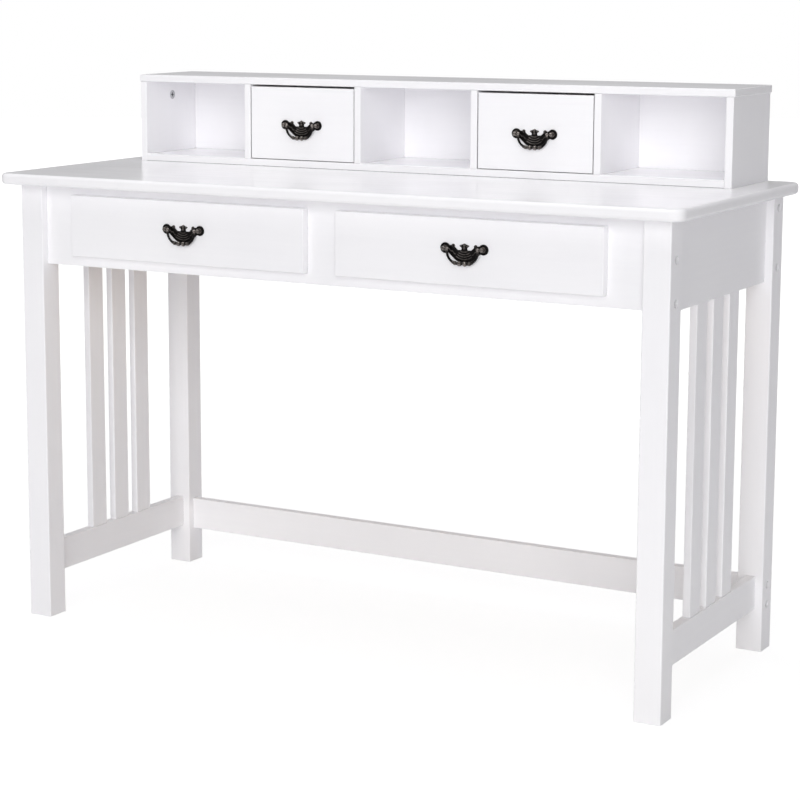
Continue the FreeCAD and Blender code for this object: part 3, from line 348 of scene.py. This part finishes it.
def metal_skin(tree, given):
    """Metal that is dark in its hollows and rubbed bright where it stands proud; the dark is a skin
    of patina on bronze and painted shade on zinc.
    """
    polish = 0.16
    blotch = clouds(tree, given["Place"], scale=240.0, detail=4.0, rough=0.65)
    speck = clouds(tree, given["Place"], scale=1500.0, rough=0.6)
    share = maths(tree, "ADD", given["Proud"], sway(tree, blotch, 0.7))
    rubbed = spread(tree, share, 0.25, 0.95)
    colour = blend(tree, rubbed, given["Hollow"], given["Rubbed"])
    shine = maths(tree, "SUBTRACT", given["Grit"], maths(tree, "MULTIPLY", rubbed, polish))
    roughness = maths(tree, "ADD", shine, sway(tree, speck, 0.2))
    height = weigh(tree, blotch, 0.6, speck, 0.4)
    return colour, roughness, height


def effect_group(name, inputs, fill):
    """A shader group with named inputs, made once; fill gives its three outputs in order."""
    if name in bpy.data.node_groups:
        return bpy.data.node_groups[name]
    tree = bpy.data.node_groups.new(name, "ShaderNodeTree")
    for way, sockets in (("INPUT", inputs), ("OUTPUT", EFFECT_OUTPUTS)):
        for label, kind in sockets.items():
            tree.interface.new_socket(name=label, in_out=way, socket_type=f"NodeSocket{kind}")
    given = tree.nodes.new("NodeGroupInput").outputs
    add_node(tree, "NodeGroupOutput", zip(EFFECT_OUTPUTS, fill(tree, given)))
    return tree


def new_finish(name):
    """A material, its tree and its shader."""
    finish = bpy.data.materials.new(name)
    finish.use_nodes = True
    tree = finish.node_tree
    shader = next(item for item in tree.nodes if item.type == "BSDF_PRINCIPLED")
    return finish, tree, shader


def use_effect(tree, shader, effect, depth, inputs):
    """Feeds a shader's colour, roughness and normal from a group; depth is in metres."""
    place = tree.nodes.new("ShaderNodeTexCoord").outputs["Object"]
    made = add_node(tree, "ShaderNodeGroup", {"Place": place, **inputs}, node_tree=effect).outputs
    bump = add_node(tree, "ShaderNodeBump", {"Height": made["Height"], "Distance": depth})
    feed(tree, shader.inputs["Base Color"], made["Colour"])
    feed(tree, shader.inputs["Roughness"], made["Roughness"])
    feed(tree, shader.inputs["Normal"], bump.outputs["Normal"])


def run_along(axis, along, across):
    """Scales of a grain that runs along one axis."""
    return tuple(along if name == axis else across for name in "xyz")


def paint_finish(name, settings, stretch, sheen):
    """White paint with its grain along one axis."""
    finish, tree, shader = new_finish(name)
    effect = effect_group("paint film", PAINT_INPUTS, paint_film)
    use_effect(tree, shader, effect, settings.film, {
        "Stretch": stretch, "Paint": (*settings.colour, 1.0), "Sheen": sheen,
    })
    return finish


def wood_finish(name, settings, stretch, band):
    """Bare wood with its grain along one axis."""
    pore_depth = 0.00006
    finish, tree, shader = new_finish(name)
    shader.inputs["Specular IOR Level"].default_value = 0.3
    effect = effect_group("wood grain", WOOD_INPUTS, wood_grain)
    use_effect(tree, shader, effect, pore_depth, {
        "Stretch": stretch, "Band": band,
        "Pale": (*settings.pale, 1.0), "Dark": (*settings.dark, 1.0),
    })
    return finish


def bronze_finish(name, settings, proud):
    """Dark bronze; proud is the name of an attribute of the piece, or one number for it."""
    pit_depth = 0.00005
    finish, tree, shader = new_finish(name)
    shader.inputs["Metallic"].default_value = 0.9
    share = proud
    if isinstance(proud, str):
        share = add_node(tree, "ShaderNodeAttribute", attribute_name=proud).outputs["Fac"]
    effect = effect_group("metal skin", METAL_INPUTS, metal_skin)
    use_effect(tree, shader, effect, pit_depth, {
        "Proud": share, "Hollow": (*settings.patina, 1.0),
        "Rubbed": (*settings.bronze, 1.0), "Grit": 0.36,
    })
    return finish


def zinc_finish(settings):
    """Bright zinc, with painted shade that darkens it in its sockets and slots."""
    socket_shade_reach, socket_shade_dimming, pit_depth = 0.006, 0.15, 0.00003
    finish, tree, shader = new_finish("zinc")
    shader.inputs["Metallic"].default_value = 1.0
    # Colour of the painted shade in sockets and slots
    shaded_zinc = tuple(socket_shade_dimming * value for value in settings.zinc)
    # Painted shade: an occlusion mask, fed in as how proud the zinc is, darkens it in sockets and
    # slots
    proud = spread(tree, openness(tree, socket_shade_reach), 0.7, 1.0, 0.0, 0.9)
    effect = effect_group("metal skin", METAL_INPUTS, metal_skin)
    use_effect(tree, shader, effect, pit_depth, {
        "Proud": proud, "Hollow": (*shaded_zinc, 1.0), "Rubbed": (*settings.zinc, 1.0), "Grit": 0.5,
    })
    return finish


def dress(names, finish):
    """Puts a finish on nodes of the frame."""
    for name in names:
        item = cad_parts[name]
        if not item.material_slots:
            raise RuntimeError(f"{name} has no material slot")
        for slot in item.material_slots:
            slot.material = finish


def smooth_step(value):
    """Runs from 0 to 1 with level ends: 3 v squared less 2 v cubed, v held between 0 and 1."""
    held = np.clip(value, 0.0, 1.0)
    return held * held * (3.0 - 2.0 * held)


def hump(value, at, width):
    """A bell one high: e to the power of less the square of the offset over the width."""
    return np.exp(-((value - at) / width) ** 2)


def wave(angle):
    """Runs from 1 to 0 and back in a full turn: half of one plus the cosine."""
    return 0.5 + 0.5 * np.cos(angle)


def half_round(size, offset):
    """Height of a half circle: the root of its radius squared less the offset squared, or 0."""
    return np.sqrt(np.clip(size ** 2 - offset ** 2, 0.0, None))


def quarter_round(inset, size):
    """Runs from 0 at an edge to 1 at a distance from it, along a quarter circle."""
    return half_round(1.0, 1.0 - np.clip(inset / size, 0.0, 1.0))


def soft_line(value, corners, width):
    """A line through corner points, its corners softened by a running mean of a given width."""
    across, up = np.array(corners, float).T
    steps = np.linspace(-0.5, 0.5, 9)
    samples = np.interp(value[..., None] + width * steps, across, up)
    return samples.mean(axis=-1)


def full_turn(count):
    """Angles of points spaced evenly round a circle."""
    return np.linspace(0.0, 2.0 * np.pi, count + 1)[:-1]


def pinch_ends(points):
    """Draws the first and the last strip of a sheet to a point each, which closes the sheet."""
    middle = points.mean(axis=1, keepdims=True) * [1.0, 0.0, 1.0]
    points[[0, -1]] = middle[[0, -1]]
    return points


def grid_quads(rows, columns, round_rows, round_columns):
    """Corner numbers of the squares of a grid of points; either way may run round on itself."""
    row, column = np.meshgrid(np.arange(rows if round_rows else rows - 1),
                              np.arange(columns if round_columns else columns - 1), indexing="ij")
    next_row = (row + 1) % rows
    next_column = (column + 1) % columns
    corners = (row * columns + column, row * columns + next_column,
               next_row * columns + next_column, next_row * columns + column)
    return np.stack(corners, axis=-1).reshape(-1, 4)


def put_at(sheets, place):
    """Sheets in millimetres carried to a place in metres."""
    return [(points * MM + place, proud, quads) for points, proud, quads in sheets]


def lay_mesh(name, sheets, finish):
    """A smooth object from sheets; each gives its points, how proud they are, and its quads."""
    same_point = 1e-6
    points = np.concatenate([sheet[0].reshape(-1, 3) for sheet in sheets])
    proud = np.concatenate([sheet[1].reshape(-1) for sheet in sheets])
    starts = np.cumsum([0] + [sheet[1].size for sheet in sheets[:-1]])
    quads = np.concatenate([sheet[2] + start for sheet, start in zip(sheets, starts)])
    mesh = bpy.data.meshes.new(name)
    mesh.vertices.add(len(points))
    mesh.vertices.foreach_set("co", points.astype(np.float32).ravel())
    mesh.loops.add(quads.size)
    mesh.loops.foreach_set("vertex_index", quads.astype(np.int32).ravel())
    mesh.polygons.add(len(quads))
    mesh.polygons.foreach_set("loop_start", np.arange(0, quads.size, 4, dtype=np.int32))
    mesh.update(calc_edges=True)
    layer = mesh.attributes.new("proud", "FLOAT", "POINT")
    layer.data.foreach_set("value", proud.astype(np.float32))
    work = bmesh.new()
    work.from_mesh(mesh)
    bmesh.ops.remove_doubles(work, verts=work.verts, dist=same_point)
    bmesh.ops.recalc_face_normals(work, faces=work.faces)
    work.to_mesh(mesh)
    work.free()
    mesh.polygons.foreach_set("use_smooth", np.ones(len(mesh.polygons), dtype=bool))
    mesh.materials.append(finish)
    made = bpy.data.objects.new(name, mesh)
    bpy.context.scene.collection.objects.link(made)
    return made


def pull_place(key):
    """Middle of a pull's post line on the face of its drawer, read from the frame, in metres."""
    low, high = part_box(f"{key}_pull_posts")
    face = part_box(f"{key}_drawer_front")[0].y
    return np.array([(low.x + high.x) / 2, face, (low.z + high.z) / 2])


def swags(x, z):
    """Half-round bows about a point above the plate, one inside the other, faded out sideways.

    Height is the root of the bow's radius squared less the offset from its line squared."""
    above, first, step, last, thickness = 7.0, 12.0, 3.6, 3, 0.95
    end_angle, fade_angle = 40.0, 8.0
    distance = np.hypot(x, z - above)
    angle = np.degrees(np.arctan2(np.abs(x), above - z))
    nearest = first + step * np.clip(np.round((distance - first) / step), 0, last)
    return half_round(thickness, distance - nearest) * smooth_step((end_angle - angle) / fade_angle)


def web_sheet(half):
    """The plate between its rosettes: for each x, a closed strip between its lower and upper edge.

    The front stands out by a quarter round at the edges, a rolled border, the swags, and along
    each arm a vine that waves with the sine of x."""
    edge_round, thickness, arm_start = 1.1, 1.55, 11.5
    border_height, border_width = 0.55, 0.55
    vine_height, vine_width, vine_swing, vine_rate = 0.9, 0.95, 0.7, 1.1
    columns = np.linspace(-half, half, 181)
    rows = np.linspace(0.0, 1.0, 81)
    upper = soft_line(np.abs(columns), PLATE_UPPER, 3.0)[:, None]
    lower = soft_line(np.abs(columns), PLATE_LOWER, 3.5)[:, None]
    x = np.repeat(columns[:, None], rows.size, axis=1)
    z = lower + (upper - lower) * (0.5 - 0.5 * np.cos(np.pi * rows))
    edge = np.minimum(z - lower, upper - z)
    rounded = quarter_round(edge, edge_round)
    border = border_height * hump(edge, edge_round, border_width)
    bows = swags(x, z) * smooth_step((edge - 0.9) / 1.2)
    stem = 0.5 * (lower + upper) + vine_swing * np.sin(vine_rate * np.abs(x))
    on_arm = smooth_step((np.abs(x) - arm_start) / 3.0)
    vine = vine_height * hump(z, stem, vine_width) * on_arm * rounded
    height = rounded * (thickness + border) + bows + vine
    proud = np.clip(0.12 + 0.42 * bows + 0.35 * border + 0.4 * vine, 0.0, 1.0)
    points = pinch_ends(np.stack([x, -height, z], axis=-1))
    return points, proud, grid_quads(columns.size, rows.size, False, True)


def rosette_sheet(centre, radius, petals):
    """A round end of the plate: a profile of radius against height, turned about the post.

    Between the seat and the rim the height waves with the angle, which makes the petals; the rim
    has two notches a petal."""
    seat, back = 4.5, 0.1
    petal_ring, petal_width, petal_height = 5.4, 0.62, 0.75
    rim, rim_width, notch_depth = 7.2, 0.8, 0.22
    across, up = np.array(ROSETTE).T[:, :, None]
    turns = full_turn(96)
    scale = np.where(across > seat, radius / across.max(), 1.0)
    reach = across * scale * np.ones_like(turns)
    petal = petal_height * hump(across, petal_ring, petal_width) * wave(petals * turns)
    notch = notch_depth * hump(across, rim, rim_width) * wave(2 * petals * turns)
    height = np.where(up > back, up + petal - notch, 0.0)
    points = np.stack([centre + reach * np.cos(turns), -height, reach * np.sin(turns)], axis=-1)
    proud = np.clip((height - 1.7) / 2.0, 0.05, 1.0)
    return points, proud, grid_quads(len(ROSETTE), turns.size, True, True)


def scroll_sheet(side):
    """A scroll button: a dome whose height drops along a spiral, where radius grows with angle."""
    out, z, radius = SCROLL
    x = side * out
    dome_height, groove_depth, pitch = 2.5, 0.55, 1.05
    inner_fade, outer_fade = 0.7, 0.5
    rows = np.linspace(0.0, 1.0, 33)[:, None]
    turns = full_turn(64)
    reach = radius * np.sin(0.5 * np.pi * rows) * np.ones_like(turns)
    dome = dome_height * np.cos(0.5 * np.pi * rows) ** 0.8
    spiral = wave(2.0 * np.pi * reach / pitch - side * turns)
    faded = smooth_step(reach / inner_fade) * smooth_step((radius - reach) / outer_fade)
    groove = groove_depth * spiral * faded
    height = dome - groove
    points = np.stack([x + reach * np.cos(turns), -height, z + reach * np.sin(turns)], axis=-1)
    proud = np.clip(0.55 - 0.9 * groove, 0.0, 1.0)
    back = np.zeros((1, turns.size, 3)) + [x, 0.0, z]
    points = np.concatenate([points, back])
    proud = np.concatenate([proud, proud[-1:]])
    return points, proud, grid_quads(len(points), turns.size, False, True)


def crown_sheet():
    """The crown over the plate: for each height, a closed strip as wide as its lobed outline.

    The front is the highest of a flat ground and four half-round lobes, rounded off at the
    outline and the tip."""
    ground, lobe_share = 1.25, 0.9
    bottom, tip = CROWN[0][0], CROWN[-1][0]
    rows = np.linspace(bottom, tip, 77)
    steps = np.linspace(0.0, 1.0, 49)
    half = soft_line(rows, CROWN, 0.5)[:, None]
    x = -half * np.cos(np.pi * steps)
    z = np.repeat(rows[:, None], steps.size, axis=1)
    raised = np.maximum.reduce([
        half_round(size, np.hypot(x - at, z - up)) for at, up, size in CROWN_LOBES])
    rounded = quarter_round(half - np.abs(x), 0.9) * quarter_round(tip - z, 1.0)
    height = rounded * np.maximum(ground, lobe_share * raised)
    points = pinch_ends(np.stack([x, -height, z], axis=-1))
    proud = np.clip(raised / 4.2, 0.05, 1.0)
    return points, proud, grid_quads(rows.size, steps.size, False, True)


def bail_sizes(settings):
    """Arm offset, bend radius and drop of the bail, in millimetres."""
    return settings.arm / MM, settings.bow / MM, settings.drop / MM


def bail_line(along, settings):
    """Middle line of the bail at a length from its middle: level grip, round bend, upright arm."""
    arm, bow, drop = bail_sizes(settings)
    flat = arm - bow
    length = np.abs(along)
    side = np.sign(along)
    angle = np.clip((length - flat) / bow, 0.0, 0.5 * np.pi)
    rise = np.clip(length - flat - 0.5 * np.pi * bow, 0.0, None)
    x = side * (np.clip(length, 0.0, flat) + bow * np.sin(angle))
    z = bow - drop - bow * np.cos(angle) + rise
    tangent = np.stack([np.cos(angle), np.zeros_like(angle), side * np.sin(angle)], axis=-1)
    return np.stack([x, np.zeros_like(x), z], axis=-1), tangent


def bail_sheet(settings):
    """The bail's bar: a circle carried along the middle line.

    Its radius is a soft maximum of the bar's own, slimmer half way up an arm, and of the beads
    and knuckles: a high root of the sum of their high powers."""
    thick, slimmer, slim_at, slim_width, power = 2.0, 0.3, 25.0, 7.0, 14.0
    bar_shine, knuckle_shine, shine_reach = 0.22, 0.6, 6.0
    arm, bow, drop = bail_sizes(settings)
    end = arm - bow + 0.5 * np.pi * bow + drop - bow
    along = np.linspace(-end - KNUCKLE, end + KNUCKLE, 441)
    length = np.abs(along)
    bar = (thick - slimmer * hump(length, slim_at, slim_width)) * (length < end)
    beads = [half_round(size, length - at) for at, size in (*BEADS, (end, KNUCKLE))]
    radius = np.sum([np.power(item, power) for item in [bar, *beads]], axis=0) ** (1.0 / power)
    line, tangent = bail_line(along, settings)
    out = np.array([0.0, 1.0, 0.0])
    inward = np.cross(tangent, out)[:, None, :]
    turns = full_turn(36)[None, :, None]
    ring = np.cos(turns) * inward + np.sin(turns) * out
    points = line[:, None, :] + radius[:, None, None] * ring
    near_knuckle = smooth_step((length - end + shine_reach) / shine_reach)
    share = bar_shine + (radius - 1.8) / 4.0 + knuckle_shine * near_knuckle
    proud = np.repeat(np.clip(share, 0.0, 1.0)[:, None], turns.size, axis=1)
    return points, proud, grid_quads(along.size, turns.size, False, True)


def pin_sheet(side, settings):
    """A pin of the bail: a profile of radius against length, turned about the bail's axis."""
    evenly_proud = 0.3
    arm = settings.arm / MM
    reach, length = np.array(PIN).T[:, :, None]
    turns = full_turn(24)
    x = side * (arm + length * np.ones_like(turns))
    points = np.stack([x, reach * np.cos(turns), reach * np.sin(turns)], axis=-1)
    proud = np.full(points.shape[:2], evenly_proud)
    return points, proud, grid_quads(len(PIN), turns.size, False, True)


class DESK_OT_paint_boards(bpy.types.Operator):
    """Paints the worktop, legs, rails, slats, drawer fronts and hutch boards white"""

    bl_idname = "desk.paint_boards"
    bl_label = "Paint the boards"

    def execute(self, context):
        settings = context.scene.desk_paint
        level_grain = run_along("x", 5.0, 130.0)
        for names, label, stretch, sheen in (
            (WORKTOP, "worktop paint", level_grain, settings.top_sheen),
            (LONG_BOARDS, "paint along", run_along("x", 5.0, 150.0), settings.sheen),
            (DEEP_BOARDS, "paint inward", run_along("y", 5.0, 150.0), settings.sheen),
            (UPRIGHT_BOARDS, "paint upright", run_along("z", 5.0, 150.0), settings.sheen),
            (HUTCH_LEVELS, "hutch top paint", level_grain, settings.top_sheen),
        ):
            dress(names, paint_finish(label, settings, stretch, sheen))
        return {"FINISHED"}


class DESK_OT_finish_boxes(bpy.types.Operator):
    """Gives the drawer boxes and their runners the look of sanded wood"""

    bl_idname = "desk.finish_boxes"
    bl_label = "Finish the drawer boxes"

    def execute(self, context):
        settings = context.scene.desk_wood
        for names, label, stretch, bands in (
            (BOX_SIDES, "wood inward", run_along("y", 0.06, 1.0), 1.0),
            (RUNNERS, "runner wood", run_along("y", 0.05, 1.0), 1.4),
            (BOX_BACKS, "wood along", run_along("x", 0.06, 1.0), 1.0),
            (BOX_BOTTOMS, "panel wood", run_along("x", 0.05, 1.0), 3.5),
        ):
            dress(names, wood_finish(label, settings, stretch, bands * settings.band))
        return {"FINISHED"}


class DESK_OT_plate_fittings(bpy.types.Operator):
    """Gives bolts, barrel nuts and cam locks a zinc finish"""

    bl_idname = "desk.plate_fittings"
    bl_label = "Plate the fittings"

    def execute(self, context):
        dress(FITTINGS, zinc_finish(context.scene.desk_metal))
        return {"FINISHED"}


class DESK_OT_cast_backplates(bpy.types.Operator):
    """Casts the four backplates and finishes their posts"""

    bl_idname = "desk.cast_backplates"
    bl_label = "Cast the backplates"

    def execute(self, context):
        settings = context.scene.desk_pull
        finish = bronze_finish("cast bronze", context.scene.desk_metal, "proud")
        dress(POSTS, bronze_finish("turned bronze", context.scene.desk_metal, 0.7))
        half = 0.5 * settings.spacing / MM
        sheets = [web_sheet(half), crown_sheet()]
        for side in (-1.0, 1.0):
            sheets.append(rosette_sheet(side * half, settings.rosette / MM, settings.petals))
            sheets.append(scroll_sheet(side))
        for key in PULLS:
            plate = lay_mesh(f"{key}_backplate", put_at(sheets, pull_place(key)), finish)
            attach(plate, f"{key}_drawer")
            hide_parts(f"{key}_pull_plate")
        return {"FINISHED"}


class DESK_OT_bend_bails(bpy.types.Operator):
    """Bends the four bails that hang from the posts"""

    bl_idname = "desk.bend_bails"
    bl_label = "Bend the bails"

    def execute(self, context):
        settings = context.scene.desk_pull
        finish = bronze_finish("bail bronze", context.scene.desk_metal, "proud")
        sheets = [bail_sheet(settings), pin_sheet(-1.0, settings), pin_sheet(1.0, settings)]
        for key in PULLS:
            place = pull_place(key) - np.array([0.0, settings.standoff, 0.0])
            bail = lay_mesh(f"{key}_hanging_bail", put_at(sheets, place), finish)
            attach(bail, f"{key}_bail")
            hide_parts(f"{key}_pull_bail")
        return {"FINISHED"}


def set_camera(settings):
    """Camera at the photograph's place: yaw, pitch and lean give its right, up and back axes."""
    yaw, pitch, lean = settings.turn
    level = math.cos(pitch)
    forward = Vector((-math.sin(yaw) * level, math.cos(yaw) * level, -math.sin(pitch)))
    right = Vector((math.cos(yaw), math.sin(yaw), 0.0))
    up = right.cross(forward)
    across = right * math.cos(lean) + up * math.sin(lean)
    upright = up * math.cos(lean) - right * math.sin(lean)
    turned = Matrix((across, upright, -forward)).transposed()
    data = bpy.data.cameras.new("camera")
    data.sensor_width = 36.0
    data.lens = settings.lens
    data.shift_x, data.shift_y = settings.shift
    data.clip_end = 100.0
    camera = bpy.data.objects.new("camera", data)
    camera.matrix_world = Matrix.Translation(settings.place) @ turned.to_4x4()
    bpy.context.scene.collection.objects.link(camera)
    bpy.context.scene.camera = camera


def set_lamp(name, place, aim, power, width, mirrored, shining):
    """A square soft box at a place, turned to a point.

    One that isn't mirrored leaves no glare; one that isn't shining is only seen in gloss."""
    data = bpy.data.lights.new(name, "AREA")
    data.energy = power
    data.size = width
    lamp = bpy.data.objects.new(name, data)
    lamp.location = place
    lamp.visible_glossy = mirrored
    lamp.visible_diffuse = shining
    lamp.rotation_euler = (Vector(place) - Vector(aim)).to_track_quat("Z", "Y").to_euler()
    bpy.context.scene.collection.objects.link(lamp)


def set_room(settings):
    """Room light, stronger from behind on the left; the camera sees white.

    Gloss sees a pale room that is greyer near the horizon."""
    wall_way = (-0.55, 0.78, 0.3)
    wall_top, ceiling_edge, ceiling = 0.2, 0.75, 0.8
    room = bpy.data.worlds.new("room")
    room.use_nodes = True
    tree = room.node_tree
    tree.nodes.clear()
    rays = tree.nodes.new("ShaderNodeLightPath").outputs
    direction = tree.nodes.new("ShaderNodeTexCoord").outputs["Generated"]
    up = add_node(tree, "ShaderNodeSeparateXYZ", {0: direction}).outputs["Z"]
    level = spread(tree, up, wall_top, ceiling_edge, settings.far_wall, ceiling)
    behind = add_node(tree, "ShaderNodeVectorMath", {0: direction, 1: wall_way},
                      operation="DOT_PRODUCT").outputs["Value"]
    soft = spread(tree, behind, 0.0, 1.0, settings.sky, settings.sky + settings.rear_wall)
    even, mirrored, white = (
        add_node(tree, "ShaderNodeBackground", {"Color": tint, "Strength": strength}).outputs[0]
        for tint, strength in ((ROOM_TINT, soft), (WHITE, level), (WHITE, 1.0)))
    in_gloss = maths(tree, "MAXIMUM", rays["Is Glossy Ray"], rays["Is Transmission Ray"])
    lit = add_node(tree, "ShaderNodeMixShader", {0: in_gloss, 1: even, 2: mirrored}).outputs[0]
    in_view = rays["Is Camera Ray"]
    seen = add_node(tree, "ShaderNodeMixShader", {0: in_view, 1: lit, 2: white}).outputs[0]
    add_node(tree, "ShaderNodeOutputWorld", {"Surface": seen})
    bpy.context.scene.world = room


def set_floor():
    """A pale floor: a disc whose points lie on rings.

    The camera sees it white, with a part of the shadow near the desk and none far off."""
    radius, drop = 14.0, 0.0002
    darker, paler = (0.90, 0.90, 0.90, 1.0), (0.93, 0.93, 0.93, 1.0)
    brightness, near, far, near_share = 1.16, 1.0, 2.6, 0.72
    rings = np.linspace(0.0, radius, 29)[:, None]
    turns = full_turn(64)
    level = np.full((rings.size, turns.size), -drop)
    points = np.stack([rings * np.cos(turns), rings * np.sin(turns), level], axis=-1)
    finish = bpy.data.materials.new("pale floor")
    finish.use_nodes = True
    tree = finish.node_tree
    tree.nodes.clear()
    rays = tree.nodes.new("ShaderNodeLightPath").outputs
    place = tree.nodes.new("ShaderNodeTexCoord").outputs["Object"]
    tone = blend(tree, clouds(tree, place, scale=3.0, detail=3.0), darker, paler)
    matt = add_node(tree, "ShaderNodeBsdfDiffuse", {"Color": tone}).outputs[0]
    glow = add_node(tree, "ShaderNodeEmission", {"Color": WHITE, "Strength": brightness}).outputs[0]
    reach = add_node(tree, "ShaderNodeVectorMath", {0: place}, operation="LENGTH").outputs["Value"]
    white_share = spread(tree, reach, near, far, near_share, 1.0)
    share = maths(tree, "MULTIPLY", rays["Is Camera Ray"], white_share)
    look = add_node(tree, "ShaderNodeMixShader", {0: share, 1: matt, 2: glow}).outputs[0]
    add_node(tree, "ShaderNodeOutputMaterial", {"Surface": look})
    quads = grid_quads(rings.size, turns.size, False, True)
    floor = lay_mesh("floor", [(points, np.zeros(level.shape), quads)], finish)


class DESK_OT_set_stage(bpy.types.Operator):
    """Sets the camera, the lamps, the room and the floor"""

    bl_idname = "desk.set_stage"
    bl_label = "Set the stage"

    def execute(self, context):
        settings = context.scene.desk_stage
        set_camera(settings)
        for name, place, width, mirrored, shining in LAMPS:
            power = getattr(settings, f"{name}_light")
            set_lamp(f"{name} lamp", place, LAMP_AIM, power, width, mirrored, shining)
        set_room(settings)
        set_floor()
        context.scene.view_settings.view_transform = "Standard"
        # Light is handed on many times between the white boards of a bay.
        context.scene.cycles.diffuse_bounces = 12
        return {"FINISHED"}


class DESK_PT_panel(bpy.types.Panel):
    """Lists the steps that dress the desk"""

    bl_idname = "DESK_PT_panel"
    bl_label = "Student desk"
    bl_space_type = "VIEW_3D"
    bl_region_type = "UI"
    bl_category = "Desk"

    def draw(self, context):
        column = self.layout.column()
        for step in STEPS:
            column.operator(step.bl_idname)
        for group in SETTINGS:
            settings = getattr(context.scene, group)
            box = self.layout.box()
            for name in settings.__annotations__:
                box.prop(settings, name)


STEPS = (
    DESK_OT_paint_boards, DESK_OT_finish_boxes, DESK_OT_plate_fittings, DESK_OT_cast_backplates,
    DESK_OT_bend_bails, DESK_OT_set_stage,
)
SETTINGS = {
    "desk_paint": PaintSettings,
    "desk_wood": WoodSettings,
    "desk_metal": MetalSettings,
    "desk_pull": PullSettings,
    "desk_stage": StageSettings,
}


def register():
    """Makes the settings, the steps and the panel known."""
    for name, group in SETTINGS.items():
        bpy.utils.register_class(group)
        setattr(bpy.types.Scene, name, PointerProperty(type=group))
    for step in STEPS:
        bpy.utils.register_class(step)
    bpy.utils.register_class(DESK_PT_panel)


def unregister():
    """Takes them away again."""
    bpy.utils.unregister_class(DESK_PT_panel)
    for step in reversed(STEPS):
        bpy.utils.unregister_class(step)
    for name, group in SETTINGS.items():
        delattr(bpy.types.Scene, name)
        bpy.utils.unregister_class(group)


def main():
    """Dresses the desk step by step."""
    register()
    for step in STEPS:
        category, action = step.bl_idname.split(".")
        getattr(getattr(bpy.ops, category), action)()


if __name__ == "__main__":
    main()
